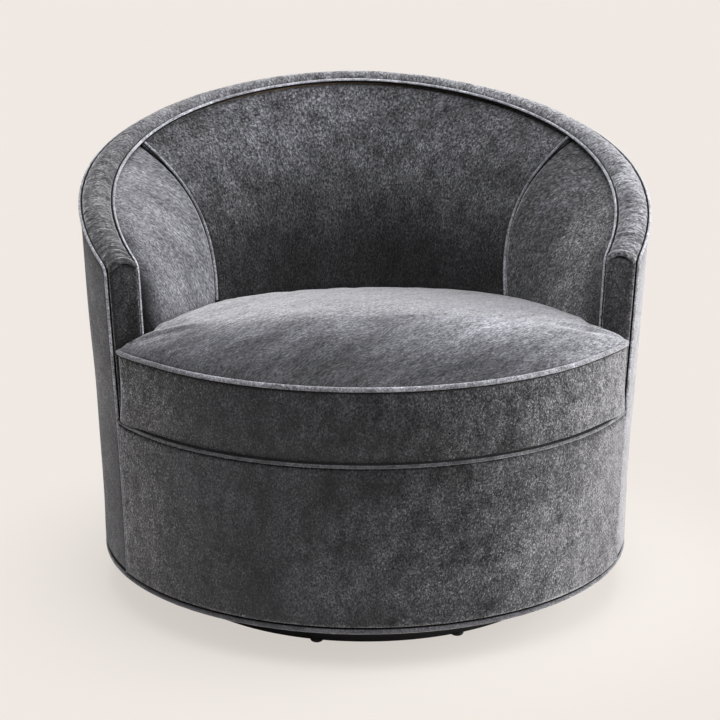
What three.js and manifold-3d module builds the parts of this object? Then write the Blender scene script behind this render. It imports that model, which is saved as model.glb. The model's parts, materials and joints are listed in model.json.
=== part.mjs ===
// A cuddle chair: a round upholstered barrel chair that swivels on a low steel ring.
// Millimetres, +Z up. The origin is on the floor, on the swivel axis, and the chair faces -Y.
// Left is -X and right is +X, as seen by someone who stands in front of the chair.
// An angle round the chair is in degrees from the front, 0 at -Y, 90 at +X and 180 at the back.

import * as THREE from 'three';
import { mergeVertices } from 'three/addons/utils/BufferGeometryUtils.js';
import Module from 'manifold-3d';

const wasm = await Module();
wasm.setup();

const { degToRad, radToDeg, lerp, smoothstep } = THREE.MathUtils;

// Clearance between pieces that touch
const gap = 0.3;
// Clearance between pieces bent round the barrel in flats that don't meet corner to corner
const bendGap = 0.9;
// Corners of one solid that lie closer than this are the same corner
const weldDistance = 0.001;

// The barrel: outer cover, rail and arms
const shellFootHeight = 70;
const shellFootRadius = 419;
const shellFlare = 22;
const shoulderHeight = 700;
const shellThickness = 10;
const armAngle = 64.5;
const armHeight = 558;
const backHeight = 748;
const riseShare = 1.8;
const railWidth = 50;
const railEdgeDrop = 5;
const railCrown = 5;
const weltRadius = 3;
const grooveDepth = 5;
const weltProud = 0.5;
const armFrontThickness = 12;
const armFrontArch = 5;

// The seat well and its padding
const wellRadius = 346;
const wellCentre = 176;
const armPadThickness = 15;
const backPadThickness = 40;
const padTopThickness = 15;
const padCrown = 5;
const padCrownStart = 20;
const seamFootAngle = 108.5;
const seamTopAngle = 116.5;
const seamBow = 8.5;
const seamWeltRadius = 2;

// The seat deck and the drum under it
const deckHeight = 318;
const deckPadThickness = 14;
const springWire = 4;
const springCount = 5;
const springPitch = 104;
const springWidth = 46;
const springWaves = 8;
const springLap = 14;
const deckRailHeight = 52;
const deckRailThickness = 26;
const apronThickness = 14;
const apronLean = 7;
const apronTopDrop = 4;
const boardThickness = 18;
const boardHoleRadius = 26;
const ribThickness = 18;
const postThickness = 22;
const columnWidth = 38;
const topRailThickness = 18;
const ribWindowWidth = 60;
const dustCoverThickness = 1.5;

// The loose seat cushion
const cushionBoxing = 110;
const cushionSetback = 5;
const cushionCrown = 46;
const cushionWeltRadius = 3.5;
const cushionClearance = 1;
const boxingBulge = 6;
const crownCentre = 215;
const crownFullShare = 2.6;
const earFlare = 7;
const earFlareStart = 48;

// The swivel base
const baseTurn = 2.5;
const ringRadius = 320;
const ringWidth = 20;
const ringHeight = 38;
const ringCorner = 3;
const glideHeight = 5;
const glideRadius = 10;
const glideSpread = 20;
const crossWidth = 50;
const crossHeight = 25;
const lowerPlateSide = 150;
const upperPlateSide = 190;
const plateThickness = 3;
const plateCorner = 12;
const ballRadius = 4;
const ballCircle = 55;
const ballCount = 12;
const cageWidth = 12;
const cageThickness = 3.4;
const lowerBoltCircle = 85;
const upperScrewCircle = 115;
const boltRadius = 4;
const boltHeadRadius = 7.5;
const boltHeadHeight = 5;
const screwRadius = 3;
const screwHeadRadius = 6;
const screwHeadHeight = 3.4;
const holeClearance = 0.5;
const kingpinRadius = 9;
const kingpinHeadRadius = 15;
const kingpinHeadHeight = 3;

// Heights that follow from the sizes above
const cushionWeltHeight = deckHeight + cushionBoxing;
const deckRailTop = deckHeight - gap - deckPadThickness - gap - springWire - gap;
const ringFoot = glideHeight + gap;
const ringTop = ringFoot + ringHeight;
const lowerPlateFoot = ringTop + gap;
const ballHeight = lowerPlateFoot + plateThickness + gap + ballRadius;
const upperPlateFoot = ballHeight + ballRadius + gap;
const upperPlateTop = upperPlateFoot + plateThickness;
const boardRadius = shellFootRadius - shellThickness - bendGap;
const apronFootRadius = boardRadius + bendGap + apronThickness;
const cushionRadius = apronFootRadius + apronLean - cushionSetback;
const columnInner = boardRadius - columnWidth;
const boardTop = shellFootHeight + boardThickness;
const wallFoot = deckHeight + gap;
const sideAngle = 90;
const rearAngle = 135;
const backAngle = 180;
const fullTurn = 360;

// Finishes
const velvet = { color: 0x4d4e54, roughness: 0.9, metalness: 0 };
const darkVelvet = { color: 0x3b3c42, roughness: 0.9, metalness: 0 };
const pipedVelvet = { color: 0x63646b, roughness: 0.9, metalness: 0 };
const plywood = { color: 0xc69c6d, roughness: 0.7, metalness: 0 };
const felt = { color: 0xb9b4a8, roughness: 1, metalness: 0 };
const cambric = { color: 0x17171a, roughness: 1, metalness: 0 };
const blackSteel = { color: 0x141416, roughness: 0.45, metalness: 0.6 };
const zincSteel = { color: 0xa9adb2, roughness: 0.35, metalness: 0.9 };
const springSteel = { color: 0x6d7176, roughness: 0.4, metalness: 0.8 };
const nylon = { color: 0x1b1b1d, roughness: 0.6, metalness: 0 };

const chair = new THREE.Group();
chair.name = 'cuddle_chair';

// Adds one finished piece to a group under its own name.
function piece(name, geometry, finish, parent = chair) {
  const mesh = new THREE.Mesh(geometry, new THREE.MeshStandardMaterial(finish));
  mesh.name = name;
  parent.add(mesh);
  return mesh;
}

// The point at an angle, a distance from the swivel axis and a height.
function polar(angle, radius, height) {
  const turn = degToRad(angle);
  return new THREE.Vector3(radius * Math.sin(turn), -radius * Math.cos(turn), height);
}

// The point beside a radial plane: radius lies in the plane, ahead is square to it, towards the front.
function besidePlane(angle, radius, ahead, height) {
  const turn = degToRad(angle);
  return polar(angle, radius, height)
    .add(new THREE.Vector3(-Math.cos(turn) * ahead, -Math.sin(turn) * ahead, 0));
}

// The point on the other side of the chair where side is -1, and the point itself where it is 1.
function mirrored(point, side) {
  return new THREE.Vector3(side * point.x, point.y, point.z);
}

// Skins a row of equal sections into one closed solid. Each section is a loop whose points pair up
// first with last, so that a strip closes both ends. A ring of sections needs no ends.
function skin(sections, ring = false) {
  const size = sections[0].length;
  const positions = sections.flat().flatMap((point) => point.toArray());
  const faces = [];
  const spans = ring ? sections.length : sections.length - 1;
  for (let i = 0; i < spans; i += 1) {
    const here = i * size;
    const there = ((i + 1) % sections.length) * size;
    for (let j = 0; j < size; j += 1) {
      const next = (j + 1) % size;
      faces.push(here + j, there + j, there + next, here + j, there + next, here + next);
    }
  }
  if (!ring) {
    const last = (sections.length - 1) * size;
    for (let j = 0; j < Math.ceil(size / 2) - 1; j += 1) {
      const [a, b, c, d] = [j, j + 1, size - 2 - j, size - 1 - j];
      faces.push(a, b, d, last + a, last + d, last + b);
      if (b !== c) faces.push(b, c, d, last + b, last + d, last + c);
    }
  }
  return outward(positions, faces);
}

// Turns a closed mesh so that its faces point out.
function outward(positions, faces) {
  const point = (i) => new THREE.Vector3().fromArray(positions, 3 * i);
  let volume = 0;
  for (let i = 0; i < faces.length; i += 3) {
    volume += point(faces[i]).dot(point(faces[i + 1]).cross(point(faces[i + 2])));
  }
  if (volume < 0) faces.reverse();
  const geometry = new THREE.BufferGeometry();
  geometry.setAttribute('position', new THREE.Float32BufferAttribute(positions, 3));
  geometry.setIndex(faces);
  geometry.computeVertexNormals();
  return geometry;
}

// A round cord along a chain of points, mitred at each of them.
function cord(points, radius, sides, closed = false) {
  const count = points.length;
  const directions = points.map((point, i) => {
    const ahead = points[closed ? (i + 1) % count : Math.min(i + 1, count - 1)];
    return ahead.clone().sub(point).normalize();
  });
  if (!closed) directions[count - 1].copy(directions[count - 2]);
  let arriving = directions[closed ? count - 1 : 0];
  let across = new THREE.Vector3(0, 0, 1).cross(arriving);
  if (across.length() < weldDistance / radius) across = new THREE.Vector3(1, 0, 0);
  across.normalize();
  const sections = points.map((point, i) => {
    const leaving = directions[i];
    const along = arriving.clone().add(leaving).normalize();
    const upward = new THREE.Vector3().crossVectors(arriving, across);
    const section = Array.from({ length: sides }, (_, j) => {
      const turn = 2 * Math.PI * j / sides;
      const spoke = across.clone().multiplyScalar(radius * Math.cos(turn))
        .addScaledVector(upward, radius * Math.sin(turn));
      // Slides the spoke's end along the arriving stretch to the mitre plane
      const slide = -spoke.dot(along) / arriving.dot(along);
      return point.clone().add(spoke).addScaledVector(arriving, slide);
    });
    // Carries the section's frame round the bend without a twist
    across = across.clone().applyQuaternion(new THREE.Quaternion().setFromUnitVectors(arriving, leaving));
    arriving = leaving;
    return section;
  });
  return skin(sections, closed);
}

// Equal steps from one value to another, both ends included.
function steps(from, to, count) {
  return Array.from({ length: count + 1 }, (_, i) => lerp(from, to, i / count));
}

// A flat plate with holes: its outline is a shape, and it stands from one height up.
function plate(shape, foot, height, curveSegments = 6) {
  const geometry = new THREE.ExtrudeGeometry(shape, { depth: height, bevelEnabled: false, curveSegments });
  return geometry.translate(0, 0, foot);
}

// A round hole in a shape.
function drill(shape, x, y, radius) {
  shape.holes.push(new THREE.Path().absarc(x, y, radius, 0, 2 * Math.PI, true));
}

// A square with round corners, centred on the axis.
function roundSquare(side, corner) {
  const half = side / 2;
  const shape = new THREE.Shape();
  for (const [x, y, start] of [[1, 1, 0], [-1, 1, 1], [-1, -1, 2], [1, -1, 3]]) {
    const from = start * Math.PI / 2;
    shape.absarc(x * (half - corner), y * (half - corner), corner, from, from + Math.PI / 2, false);
  }
  shape.closePath();
  return shape;
}

// A solid turned about the swivel axis from a profile of radius and height.
function turned(profile, segments) {
  const points = profile.map(([radius, height]) => new THREE.Vector2(radius, height));
  return new THREE.LatheGeometry(points, segments).rotateX(Math.PI / 2);
}

// Swaps a three.js geometry and a boolean solid.
function toSolid(geometry) {
  const bare = geometry.clone();
  bare.deleteAttribute('normal');
  bare.deleteAttribute('uv');
  const merged = mergeVertices(bare, weldDistance);
  return new wasm.Manifold(new wasm.Mesh({
    numProp: 3,
    vertProperties: new Float32Array(merged.attributes.position.array),
    triVerts: new Uint32Array(merged.index.array),
  }));
}

function toGeometry(solid) {
  const mesh = solid.getMesh();
  const geometry = new THREE.BufferGeometry();
  geometry.setAttribute('position', new THREE.BufferAttribute(new Float32Array(mesh.vertProperties), 3));
  geometry.setIndex(new THREE.BufferAttribute(new Uint32Array(mesh.triVerts), 1));
  geometry.computeVertexNormals();
  return geometry;
}

// The form of the barrel

// Outside radius of the barrel: it flares from the foot to the shoulder.
function outerRadius(height) {
  return shellFootRadius + shellFlare * smoothstep(height, shellFootHeight, shoulderHeight);
}

// Height of the rail: it rises fast behind the arms and levels off at the back.
function railHeight(angle) {
  const share = (Math.min(angle, fullTurn - angle) - armAngle) / (backAngle - armAngle);
  return lerp(armHeight, backHeight, 1 - (1 - share) ** riseShare);
}

const railAngles = steps(armAngle, fullTurn - armAngle, 44);
const railOuterRadius = (angle) => outerRadius(railHeight(angle));
const railInnerRadius = (angle) => railOuterRadius(angle) - railWidth;

// Radius of the seat well at cushion height, a circle whose centre lies ahead of the swivel axis.
function wellEdge(angle, radius = wellRadius) {
  const turn = degToRad(angle);
  const aside = wellCentre * Math.sin(turn);
  return wellCentre * Math.cos(turn) + Math.sqrt(radius ** 2 - aside ** 2);
}

// The inside wall: straight up beside the cushion, then leaning out to the rail. The share is 0 at
// the cushion's welt and 1 at the rail. In between the padding swells a little, but not at the
// arms' front edges.
function wallRadius(angle, share) {
  const up = Math.min(Math.max(share, 0), 1);
  const behindArm = Math.min(angle, fullTurn - angle) - armAngle;
  const swell = padCrown * Math.sin(Math.PI * up) * smoothstep(behindArm, 0, padCrownStart);
  return lerp(wellEdge(angle), railInnerRadius(angle), up) - swell;
}

function wallPoint(angle, share, depth = 0) {
  const height = share < 0
    ? lerp(cushionWeltHeight, wallFoot, -share)
    : lerp(cushionWeltHeight, railHeight(angle) - railEdgeDrop, share);
  return polar(angle, wallRadius(angle, share) + depth, height);
}

// The wall's share at a height, for pieces that follow the wall at one angle.
function wallShare(angle, height) {
  return (height - cushionWeltHeight) / (railHeight(angle) - railEdgeDrop - cushionWeltHeight);
}

// The seam between the inside back and the inside arm bows towards the back on its way up.
function seamAngle(share) {
  const up = Math.max(share, 0);
  return lerp(seamFootAngle, seamTopAngle, up) + seamBow * Math.sin(Math.PI * up);
}

const wallShares = [-1, 0, 0.14, 0.32, 0.5, 0.68, 0.85];

// Height at which the padding and the outer cover end, under the rail band.
const coverTop = (angle) => railHeight(angle) - railEdgeDrop - bendGap;

// The padding's rear face, from the deck to the rail. It may bow sideways with its edges.
function padRear(angleAt, footThickness) {
  const lipAngle = angleAt(1);
  const lip = polar(lipAngle, railInnerRadius(lipAngle) + padTopThickness, coverTop(lipAngle) - grooveDepth);
  return [...wallShares.map((share) => wallPoint(angleAt(share), share,
    lerp(footThickness, padTopThickness, Math.max(share, 0)))), lip];
}

// Radius of that rear face at an angle and a height.
function padRearRadius(angle, height, footThickness) {
  const line = padRear(() => angle, footThickness)
    .map(({ x, y, z }) => new THREE.Vector2(Math.hypot(x, y), z));
  const i = Math.max(line.findIndex((point) => point.y >= height), 1);
  return lerp(line[i - 1].x, line[i].x, (height - line[i - 1].y) / (line[i].y - line[i - 1].y));
}

// One padded panel of the inside wall between two edges that may bow.
function wallPad(edgeFrom, edgeTo, footThickness, count) {
  const sections = steps(0, 1, count).map((across) => {
    const at = (share) => lerp(edgeFrom(share), edgeTo(share), across);
    const top = at(1);
    const face = wallShares.map((share) => wallPoint(at(share), share));
    const lip = polar(top, railInnerRadius(top), coverTop(top) - grooveDepth);
    const crest = polar(top, railInnerRadius(top) + grooveDepth, coverTop(top));
    const crestRear = polar(top, railInnerRadius(top) + padTopThickness, coverTop(top));
    return [...face, lip, crest, crestRear, ...padRear(at, footThickness).reverse()];
  });
  return skin(sections);
}

// The angle that the joint's gap takes on either side of a seam
const seamGap = radToDeg(bendGap / wellRadius);

function insideWall() {
  const leftSeam = (share) => fullTurn - seamAngle(share);
  const back = wallPad((share) => seamAngle(share) + seamGap, (share) => leftSeam(share) - seamGap,
    backPadThickness, 18);
  piece('inside_back_pad', back, velvet);
  const right = wallPad(() => armAngle, (share) => seamAngle(share) - seamGap, armPadThickness, 8);
  piece('inside_arm_pad_right', right, velvet);
  const left = wallPad((share) => leftSeam(share) + seamGap, () => fullTurn - armAngle, armPadThickness, 8);
  piece('inside_arm_pad_left', left, velvet);
}

// The outer cover, a padded board bent round the frame from one arm front to the other.
function outerShell() {
  const sections = railAngles.map((angle) => {
    const joint = coverTop(angle);
    const heights = steps(shellFootHeight, joint - grooveDepth, 7);
    const outside = heights.map((height) => polar(angle, outerRadius(height), height));
    const inside = heights.map((height) => polar(angle, outerRadius(height) - shellThickness, height));
    const crest = polar(angle, railOuterRadius(angle) - grooveDepth, joint);
    const crestInside = polar(angle, railOuterRadius(angle) - shellThickness, joint);
    return [...outside, crest, crestInside, ...inside.reverse()];
  });
  piece('outer_shell', skin(sections), velvet);
}

// The padded band on top of the rail, crowned between its two piped edges.
function railBand() {
  const acrossShares = [0.2, 0.5, 0.8];
  const sections = railAngles.map((angle) => {
    const inner = railInnerRadius(angle);
    const outer = railOuterRadius(angle);
    const joint = railHeight(angle) - railEdgeDrop;
    const crown = acrossShares.map((share) => {
      const rise = (railEdgeDrop + railCrown) * Math.sin(Math.PI * share);
      return polar(angle, lerp(inner, outer, share), joint + Math.max(rise, grooveDepth));
    });
    return [polar(angle, inner + grooveDepth, joint), polar(angle, inner, joint + grooveDepth),
      ...crown, polar(angle, outer, joint + grooveDepth), polar(angle, outer - grooveDepth, joint)];
  });
  piece('rail_band', skin(sections), velvet);
}

// The upholstered board that closes the front of an arm, from the deck up to the rail.
const weltRoom = weltRadius - weltProud + gap;
const armFrontFoot = deckHeight + 2 * weltRadius;

function armFront(side) {
  const levels = steps(armFrontFoot, armHeight - railEdgeDrop, 6).map((height) => ({
    height,
    inner: wallRadius(armAngle, wallShare(armAngle, height)) + weltRoom,
    outer: outerRadius(height) - weltRoom,
  }));
  const top = levels[levels.length - 1];
  const arch = steps(0, 1, 4).slice(1, -1).map((share) => ({
    radius: lerp(top.outer, top.inner, share),
    height: top.height + armFrontArch * Math.sin(Math.PI * share),
  }));
  const rim = (ahead) => [
    ...levels.map(({ outer, height }) => besidePlane(armAngle, outer, ahead, height)),
    ...arch.map(({ radius, height }) => besidePlane(armAngle, radius, ahead, height)),
    ...levels.toReversed().map(({ inner, height }) => besidePlane(armAngle, inner, ahead, height)),
  ].map((point) => mirrored(point, side));
  return skin([rim(gap), rim(gap + armFrontThickness)]);
}

// The piping of the rail. It lies in the groove of the joint, and at each arm it turns down the
// arm's front edge.
function railWelt(radiusAt, footHeight, proud) {
  const ahead = weltRadius + gap;
  const upright = steps(footHeight, armHeight - railEdgeDrop, 6)
    .map((height) => besidePlane(armAngle, radiusAt(armAngle, height) + proud, ahead, height));
  const over = railAngles.map((angle) => {
    const joint = railHeight(angle) - railEdgeDrop;
    return polar(angle, radiusAt(angle, joint) + proud, joint);
  });
  const farUpright = upright.map((point) => mirrored(point, -1)).reverse();
  return cord([...upright, ...over, ...farUpright], weltRadius, 5);
}

function railWelts() {
  const outerAt = (angle, height) => outerRadius(height);
  piece('rail_outer_welt', railWelt(outerAt, shellFootHeight + weltRadius, weltProud), pipedVelvet);
  const innerAt = (angle, height) => wallRadius(angle, wallShare(angle, height));
  piece('rail_inner_welt', railWelt(innerAt, armFrontFoot, -weltProud), pipedVelvet);
}

// The thin piping of the seams between the inside back and the inside arms.
function seamWelt(side) {
  const points = steps(0.1, 0.96, 14).map((share) => {
    const angle = seamAngle(share);
    const here = wallPoint(angle, share);
    const above = wallPoint(angle, Math.min(share + 0.02, 1));
    const along = above.sub(wallPoint(angle, share - 0.02));
    const sideways = wallPoint(angle + 1, share).sub(wallPoint(angle - 1, share));
    const normal = along.cross(sideways).normalize();
    if (normal.x * here.x + normal.y * here.y > 0) normal.negate();
    return mirrored(here.addScaledVector(normal, seamWeltRadius + gap), side);
  });
  return cord(points, seamWeltRadius, 5);
}

// The frame

// A plywood rib in a radial plane. Its foot is a column on the bottom board. Above the deck it fills
// the space between the outer shell and the inside wall, and it stops under the top rail. Its rear
// face lies behind the radial plane by a distance of its own.
function rib(angle, thickness, padFootThickness, behind) {
  const spread = radToDeg(thickness / columnInner);
  const near = [angle - spread, angle, angle + spread].map((side) => Math.max(side, armAngle));
  const rearOfPad = (height) => bendGap
    + Math.max(...near.map((side) => padRearRadius(side, height, padFootThickness)));
  const top = Math.min(...near.map(coverTop)) - topRailThickness - gap;
  const foot = boardTop + gap;
  const corner = Math.max(behind, thickness - behind);
  const outerEdge = steps(foot, top, 7).map((height) => {
    const reach = outerRadius(height) - shellThickness - bendGap;
    return new THREE.Vector2(Math.sqrt(reach ** 2 - corner ** 2), height);
  });
  const innerEdge = [top, ...wallShares.toReversed().map((share) => wallPoint(angle, share).z)]
    .filter((height) => height <= top)
    .map((height) => new THREE.Vector2(rearOfPad(height), height));
  const step = innerEdge[innerEdge.length - 1].x > columnInner ? deckRailTop : wallFoot;
  const shape = new THREE.Shape([...outerEdge, ...innerEdge,
    ...(step < wallFoot ? [new THREE.Vector2(innerEdge[innerEdge.length - 1].x, step)] : []),
    new THREE.Vector2(columnInner, step), new THREE.Vector2(columnInner, foot)]);
  const windowRadius = ribWindowWidth / 2;
  const windowHeight = cushionWeltHeight;
  const windowInner = rearOfPad(windowHeight);
  const windowOuter = outerRadius(windowHeight) - shellThickness;
  if (windowOuter - windowInner > 2 * ribWindowWidth) {
    drill(shape, (windowInner + windowOuter) / 2, windowHeight, windowRadius);
  }
  const board = new THREE.ExtrudeGeometry(shape, { depth: thickness, bevelEnabled: false, curveSegments: 8 });
  // The outline is drawn as radius and height, and the board's thickness runs square to its plane
  board.translate(0, 0, -behind).rotateX(Math.PI / 2);
  return board.rotateZ(degToRad(angle - sideAngle));
}

function ribs() {
  const half = ribThickness / 2;
  for (const [name, angle, padFoot] of [
    ['rear_rib_middle', backAngle, backPadThickness],
    ['rear_rib_right', rearAngle, backPadThickness],
    ['rear_rib_left', fullTurn - rearAngle, backPadThickness],
    ['side_rib_right', sideAngle, armPadThickness],
    ['side_rib_left', fullTurn - sideAngle, armPadThickness],
  ]) piece(name, rib(angle, ribThickness, padFoot, half), plywood);
  const post = () => rib(armAngle, postThickness, armPadThickness, postThickness + gap);
  piece('front_post_right', post(), plywood);
  const far = post().scale(-1, 1, 1);
  far.setIndex(Array.from({ length: far.attributes.position.count }, (_, i) => i).reverse());
  piece('front_post_left', far, plywood);
}

// The bent plywood rail on top of the ribs, under the rail band.
function topRail() {
  const sections = railAngles.map((angle) => {
    const inner = railInnerRadius(angle) + padTopThickness + bendGap;
    const top = coverTop(angle);
    const foot = top - topRailThickness;
    const outer = (height) => outerRadius(height) - shellThickness - bendGap;
    return [polar(angle, inner, top), polar(angle, outer(top), top),
      polar(angle, outer(foot), foot), polar(angle, inner, foot)];
  });
  piece('top_rail', skin(sections), plywood);
}

const rearRailFront = wellRadius - wellCentre - deckRailThickness;
const deckRailFoot = deckRailTop - deckRailHeight;
const sideRailInner = columnInner - gap - deckRailThickness;

// A straight rail of the seat deck, from its corners in plan.
function straightRail(x0, y0, x1, y1) {
  const shape = new THREE.Shape([new THREE.Vector2(x0, y0), new THREE.Vector2(x1, y0),
    new THREE.Vector2(x1, y1), new THREE.Vector2(x0, y1)]);
  return plate(shape, deckRailFoot, deckRailHeight);
}

function deckRails() {
  const bend = steps(-armAngle, armAngle, 24).map((angle) => [
    polar(angle, boardRadius - deckRailThickness, deckRailTop), polar(angle, boardRadius, deckRailTop),
    polar(angle, boardRadius, deckRailFoot), polar(angle, boardRadius - deckRailThickness, deckRailFoot)]);
  piece('deck_front_rail', skin(bend), plywood);

  // Each side rail runs from the rear face of the front post to the rear rail
  const turn = degToRad(armAngle);
  const front = (postThickness + 2 * gap - sideRailInner * Math.cos(turn)) / Math.sin(turn);
  const rear = rearRailFront - gap;
  const outer = sideRailInner + deckRailThickness;
  piece('deck_side_rail_right', straightRail(sideRailInner, front, outer, rear), plywood);
  piece('deck_side_rail_left', straightRail(-outer, front, -sideRailInner, rear), plywood);

  const rearRailBack = rearRailFront + deckRailThickness;
  const reach = Math.sqrt(boardRadius ** 2 - rearRailBack ** 2);
  piece('deck_rear_rail', straightRail(-reach, rearRailFront, reach, rearRailBack), plywood);
}

// The sinuous springs run from the front rail to the rear rail and lap over both.
function seatSprings() {
  const height = deckRailTop + gap + springWire / 2;
  for (let i = 0; i < springCount; i += 1) {
    const middle = (i - (springCount - 1) / 2) * springPitch;
    const frontEdge = -Math.sqrt((boardRadius - deckRailThickness) ** 2 - middle ** 2);
    const waves = steps(frontEdge, rearRailFront, springWaves * 6).map((y, j) => {
      const swing = Math.sin(2 * Math.PI * j / 6) * springWidth / 2;
      return new THREE.Vector3(middle + swing, y, height);
    });
    const start = new THREE.Vector3(middle, frontEdge - springLap, height);
    const end = new THREE.Vector3(middle, rearRailFront + springLap, height);
    piece(`seat_spring_${i + 1}`, cord([start, ...waves, end], springWire / 2, 4), springSteel);
  }
}

// The felt pad over the springs. It fills the drum at the front and the seat well behind it.
function deckPad() {
  const front = apronEndAngle - 1;
  const bow = steps(-front, front, 24).map((angle) => polar(angle, boardRadius, 0));
  const well = steps(front, fullTurn - front, 36)
    .map((angle) => polar(angle, wellEdge(angle) + armPadThickness / 2, 0));
  const shape = new THREE.Shape([...bow, ...well].map(({ x, y }) => new THREE.Vector2(x, y)));
  piece('deck_pad', plate(shape, deckHeight - gap - deckPadThickness, deckPadThickness), felt);
}

// The apron closes the front of the drum between the arms' outer piping.
const apronEndAngle = armAngle - radToDeg((2 * (weltRadius + gap) + gap) / apronFootRadius);
const apronAngles = steps(-apronEndAngle, apronEndAngle, 28);

function apron() {
  const top = deckHeight - apronTopDrop;
  const roundShare = 0.3;
  const sections = apronAngles.map((angle) => {
    const outer = steps(0, 1, 3).map((share) => ({
      radius: apronFootRadius + apronLean * share, height: lerp(shellFootHeight, top - weltRadius, share),
    }));
    const crest = apronFootRadius + apronLean - weltRadius * roundShare;
    return [
      ...outer.map(({ radius, height }) => polar(angle, radius, height)),
      polar(angle, crest, top), polar(angle, crest - apronThickness, top),
      ...outer.toReversed().map(({ radius, height }) => polar(angle, radius - apronThickness, height)),
    ];
  });
  piece('front_apron', skin(sections), velvet);
  const weltCentre = apronFootRadius + apronLean - weltRadius;
  const line = apronAngles.map((angle) => polar(angle, weltCentre, top + gap + weltRadius));
  piece('drum_top_welt', cord(line, weltRadius, 6), pipedVelvet);
}

// The bottom of the turning part: the board that all ribs stand on, its cloth and its piping.
function bottom() {
  const disc = (radius) => new THREE.Shape(steps(0, fullTurn, 60).slice(1)
    .map((angle) => polar(angle, radius, 0)).map(({ x, y }) => new THREE.Vector2(x, y)));
  const board = disc(boardRadius);
  drill(board, 0, 0, boardHoleRadius);
  for (const { x, y } of corners(upperScrewCircle)) drill(board, x, y, screwRadius + holeClearance);
  piece('bottom_board', plate(board, shellFootHeight, boardThickness), plywood);

  const cover = disc(boardRadius - railEdgeDrop);
  drill(cover, 0, 0, upperPlateSide / Math.SQRT2 + plateCorner);
  piece('dust_cover', plate(cover, shellFootHeight - gap - dustCoverThickness, dustCoverThickness), cambric);

  const welt = new THREE.TorusGeometry(boardRadius + apronThickness / 2, weltRadius, 6, 56);
  piece('bottom_welt', welt.translate(0, 0, shellFootHeight - gap - weltRadius), pipedVelvet);
}

// The four places on a plate's diagonals at a distance from the axis.
function corners(radius) {
  return [1, 3, 5, 7].map((eighth) => new THREE.Vector2(radius, 0)
    .rotateAround(new THREE.Vector2(), eighth * Math.PI / 4));
}

// The swivel

// A square plate with a hole for the kingpin and four for its fasteners.
function swivelPlate(side, foot, thickness, centreHole, circle, holeRadius) {
  const shape = roundSquare(side, plateCorner);
  drill(shape, 0, 0, centreHole);
  for (const { x, y } of corners(circle)) drill(shape, x, y, holeRadius);
  return plate(shape, foot, thickness, 5);
}

function turningPlate() {
  const screwHole = screwRadius + holeClearance;
  piece('swivel_upper_plate', swivelPlate(upperPlateSide, upperPlateFoot, plateThickness,
    kingpinRadius + holeClearance, upperScrewCircle, screwHole), zincSteel);
  const spacerFoot = upperPlateTop + gap;
  piece('swivel_spacer', swivelPlate(upperPlateSide, spacerFoot, shellFootHeight - gap - spacerFoot,
    boardHoleRadius, upperScrewCircle, screwHole), plywood);

  const headTop = upperPlateFoot - gap;
  corners(upperScrewCircle).forEach(({ x, y }, i) => {
    const screw = turned([[0, headTop - screwHeadHeight], [screwHeadRadius, headTop - screwHeadHeight / 2],
      [screwHeadRadius, headTop], [screwRadius, headTop], [screwRadius, boardTop - screwRadius],
      [0, boardTop]], 8);
    piece(`plate_screw_${i + 1}`, screw.translate(x, y, 0), zincSteel);
  });
}

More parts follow.
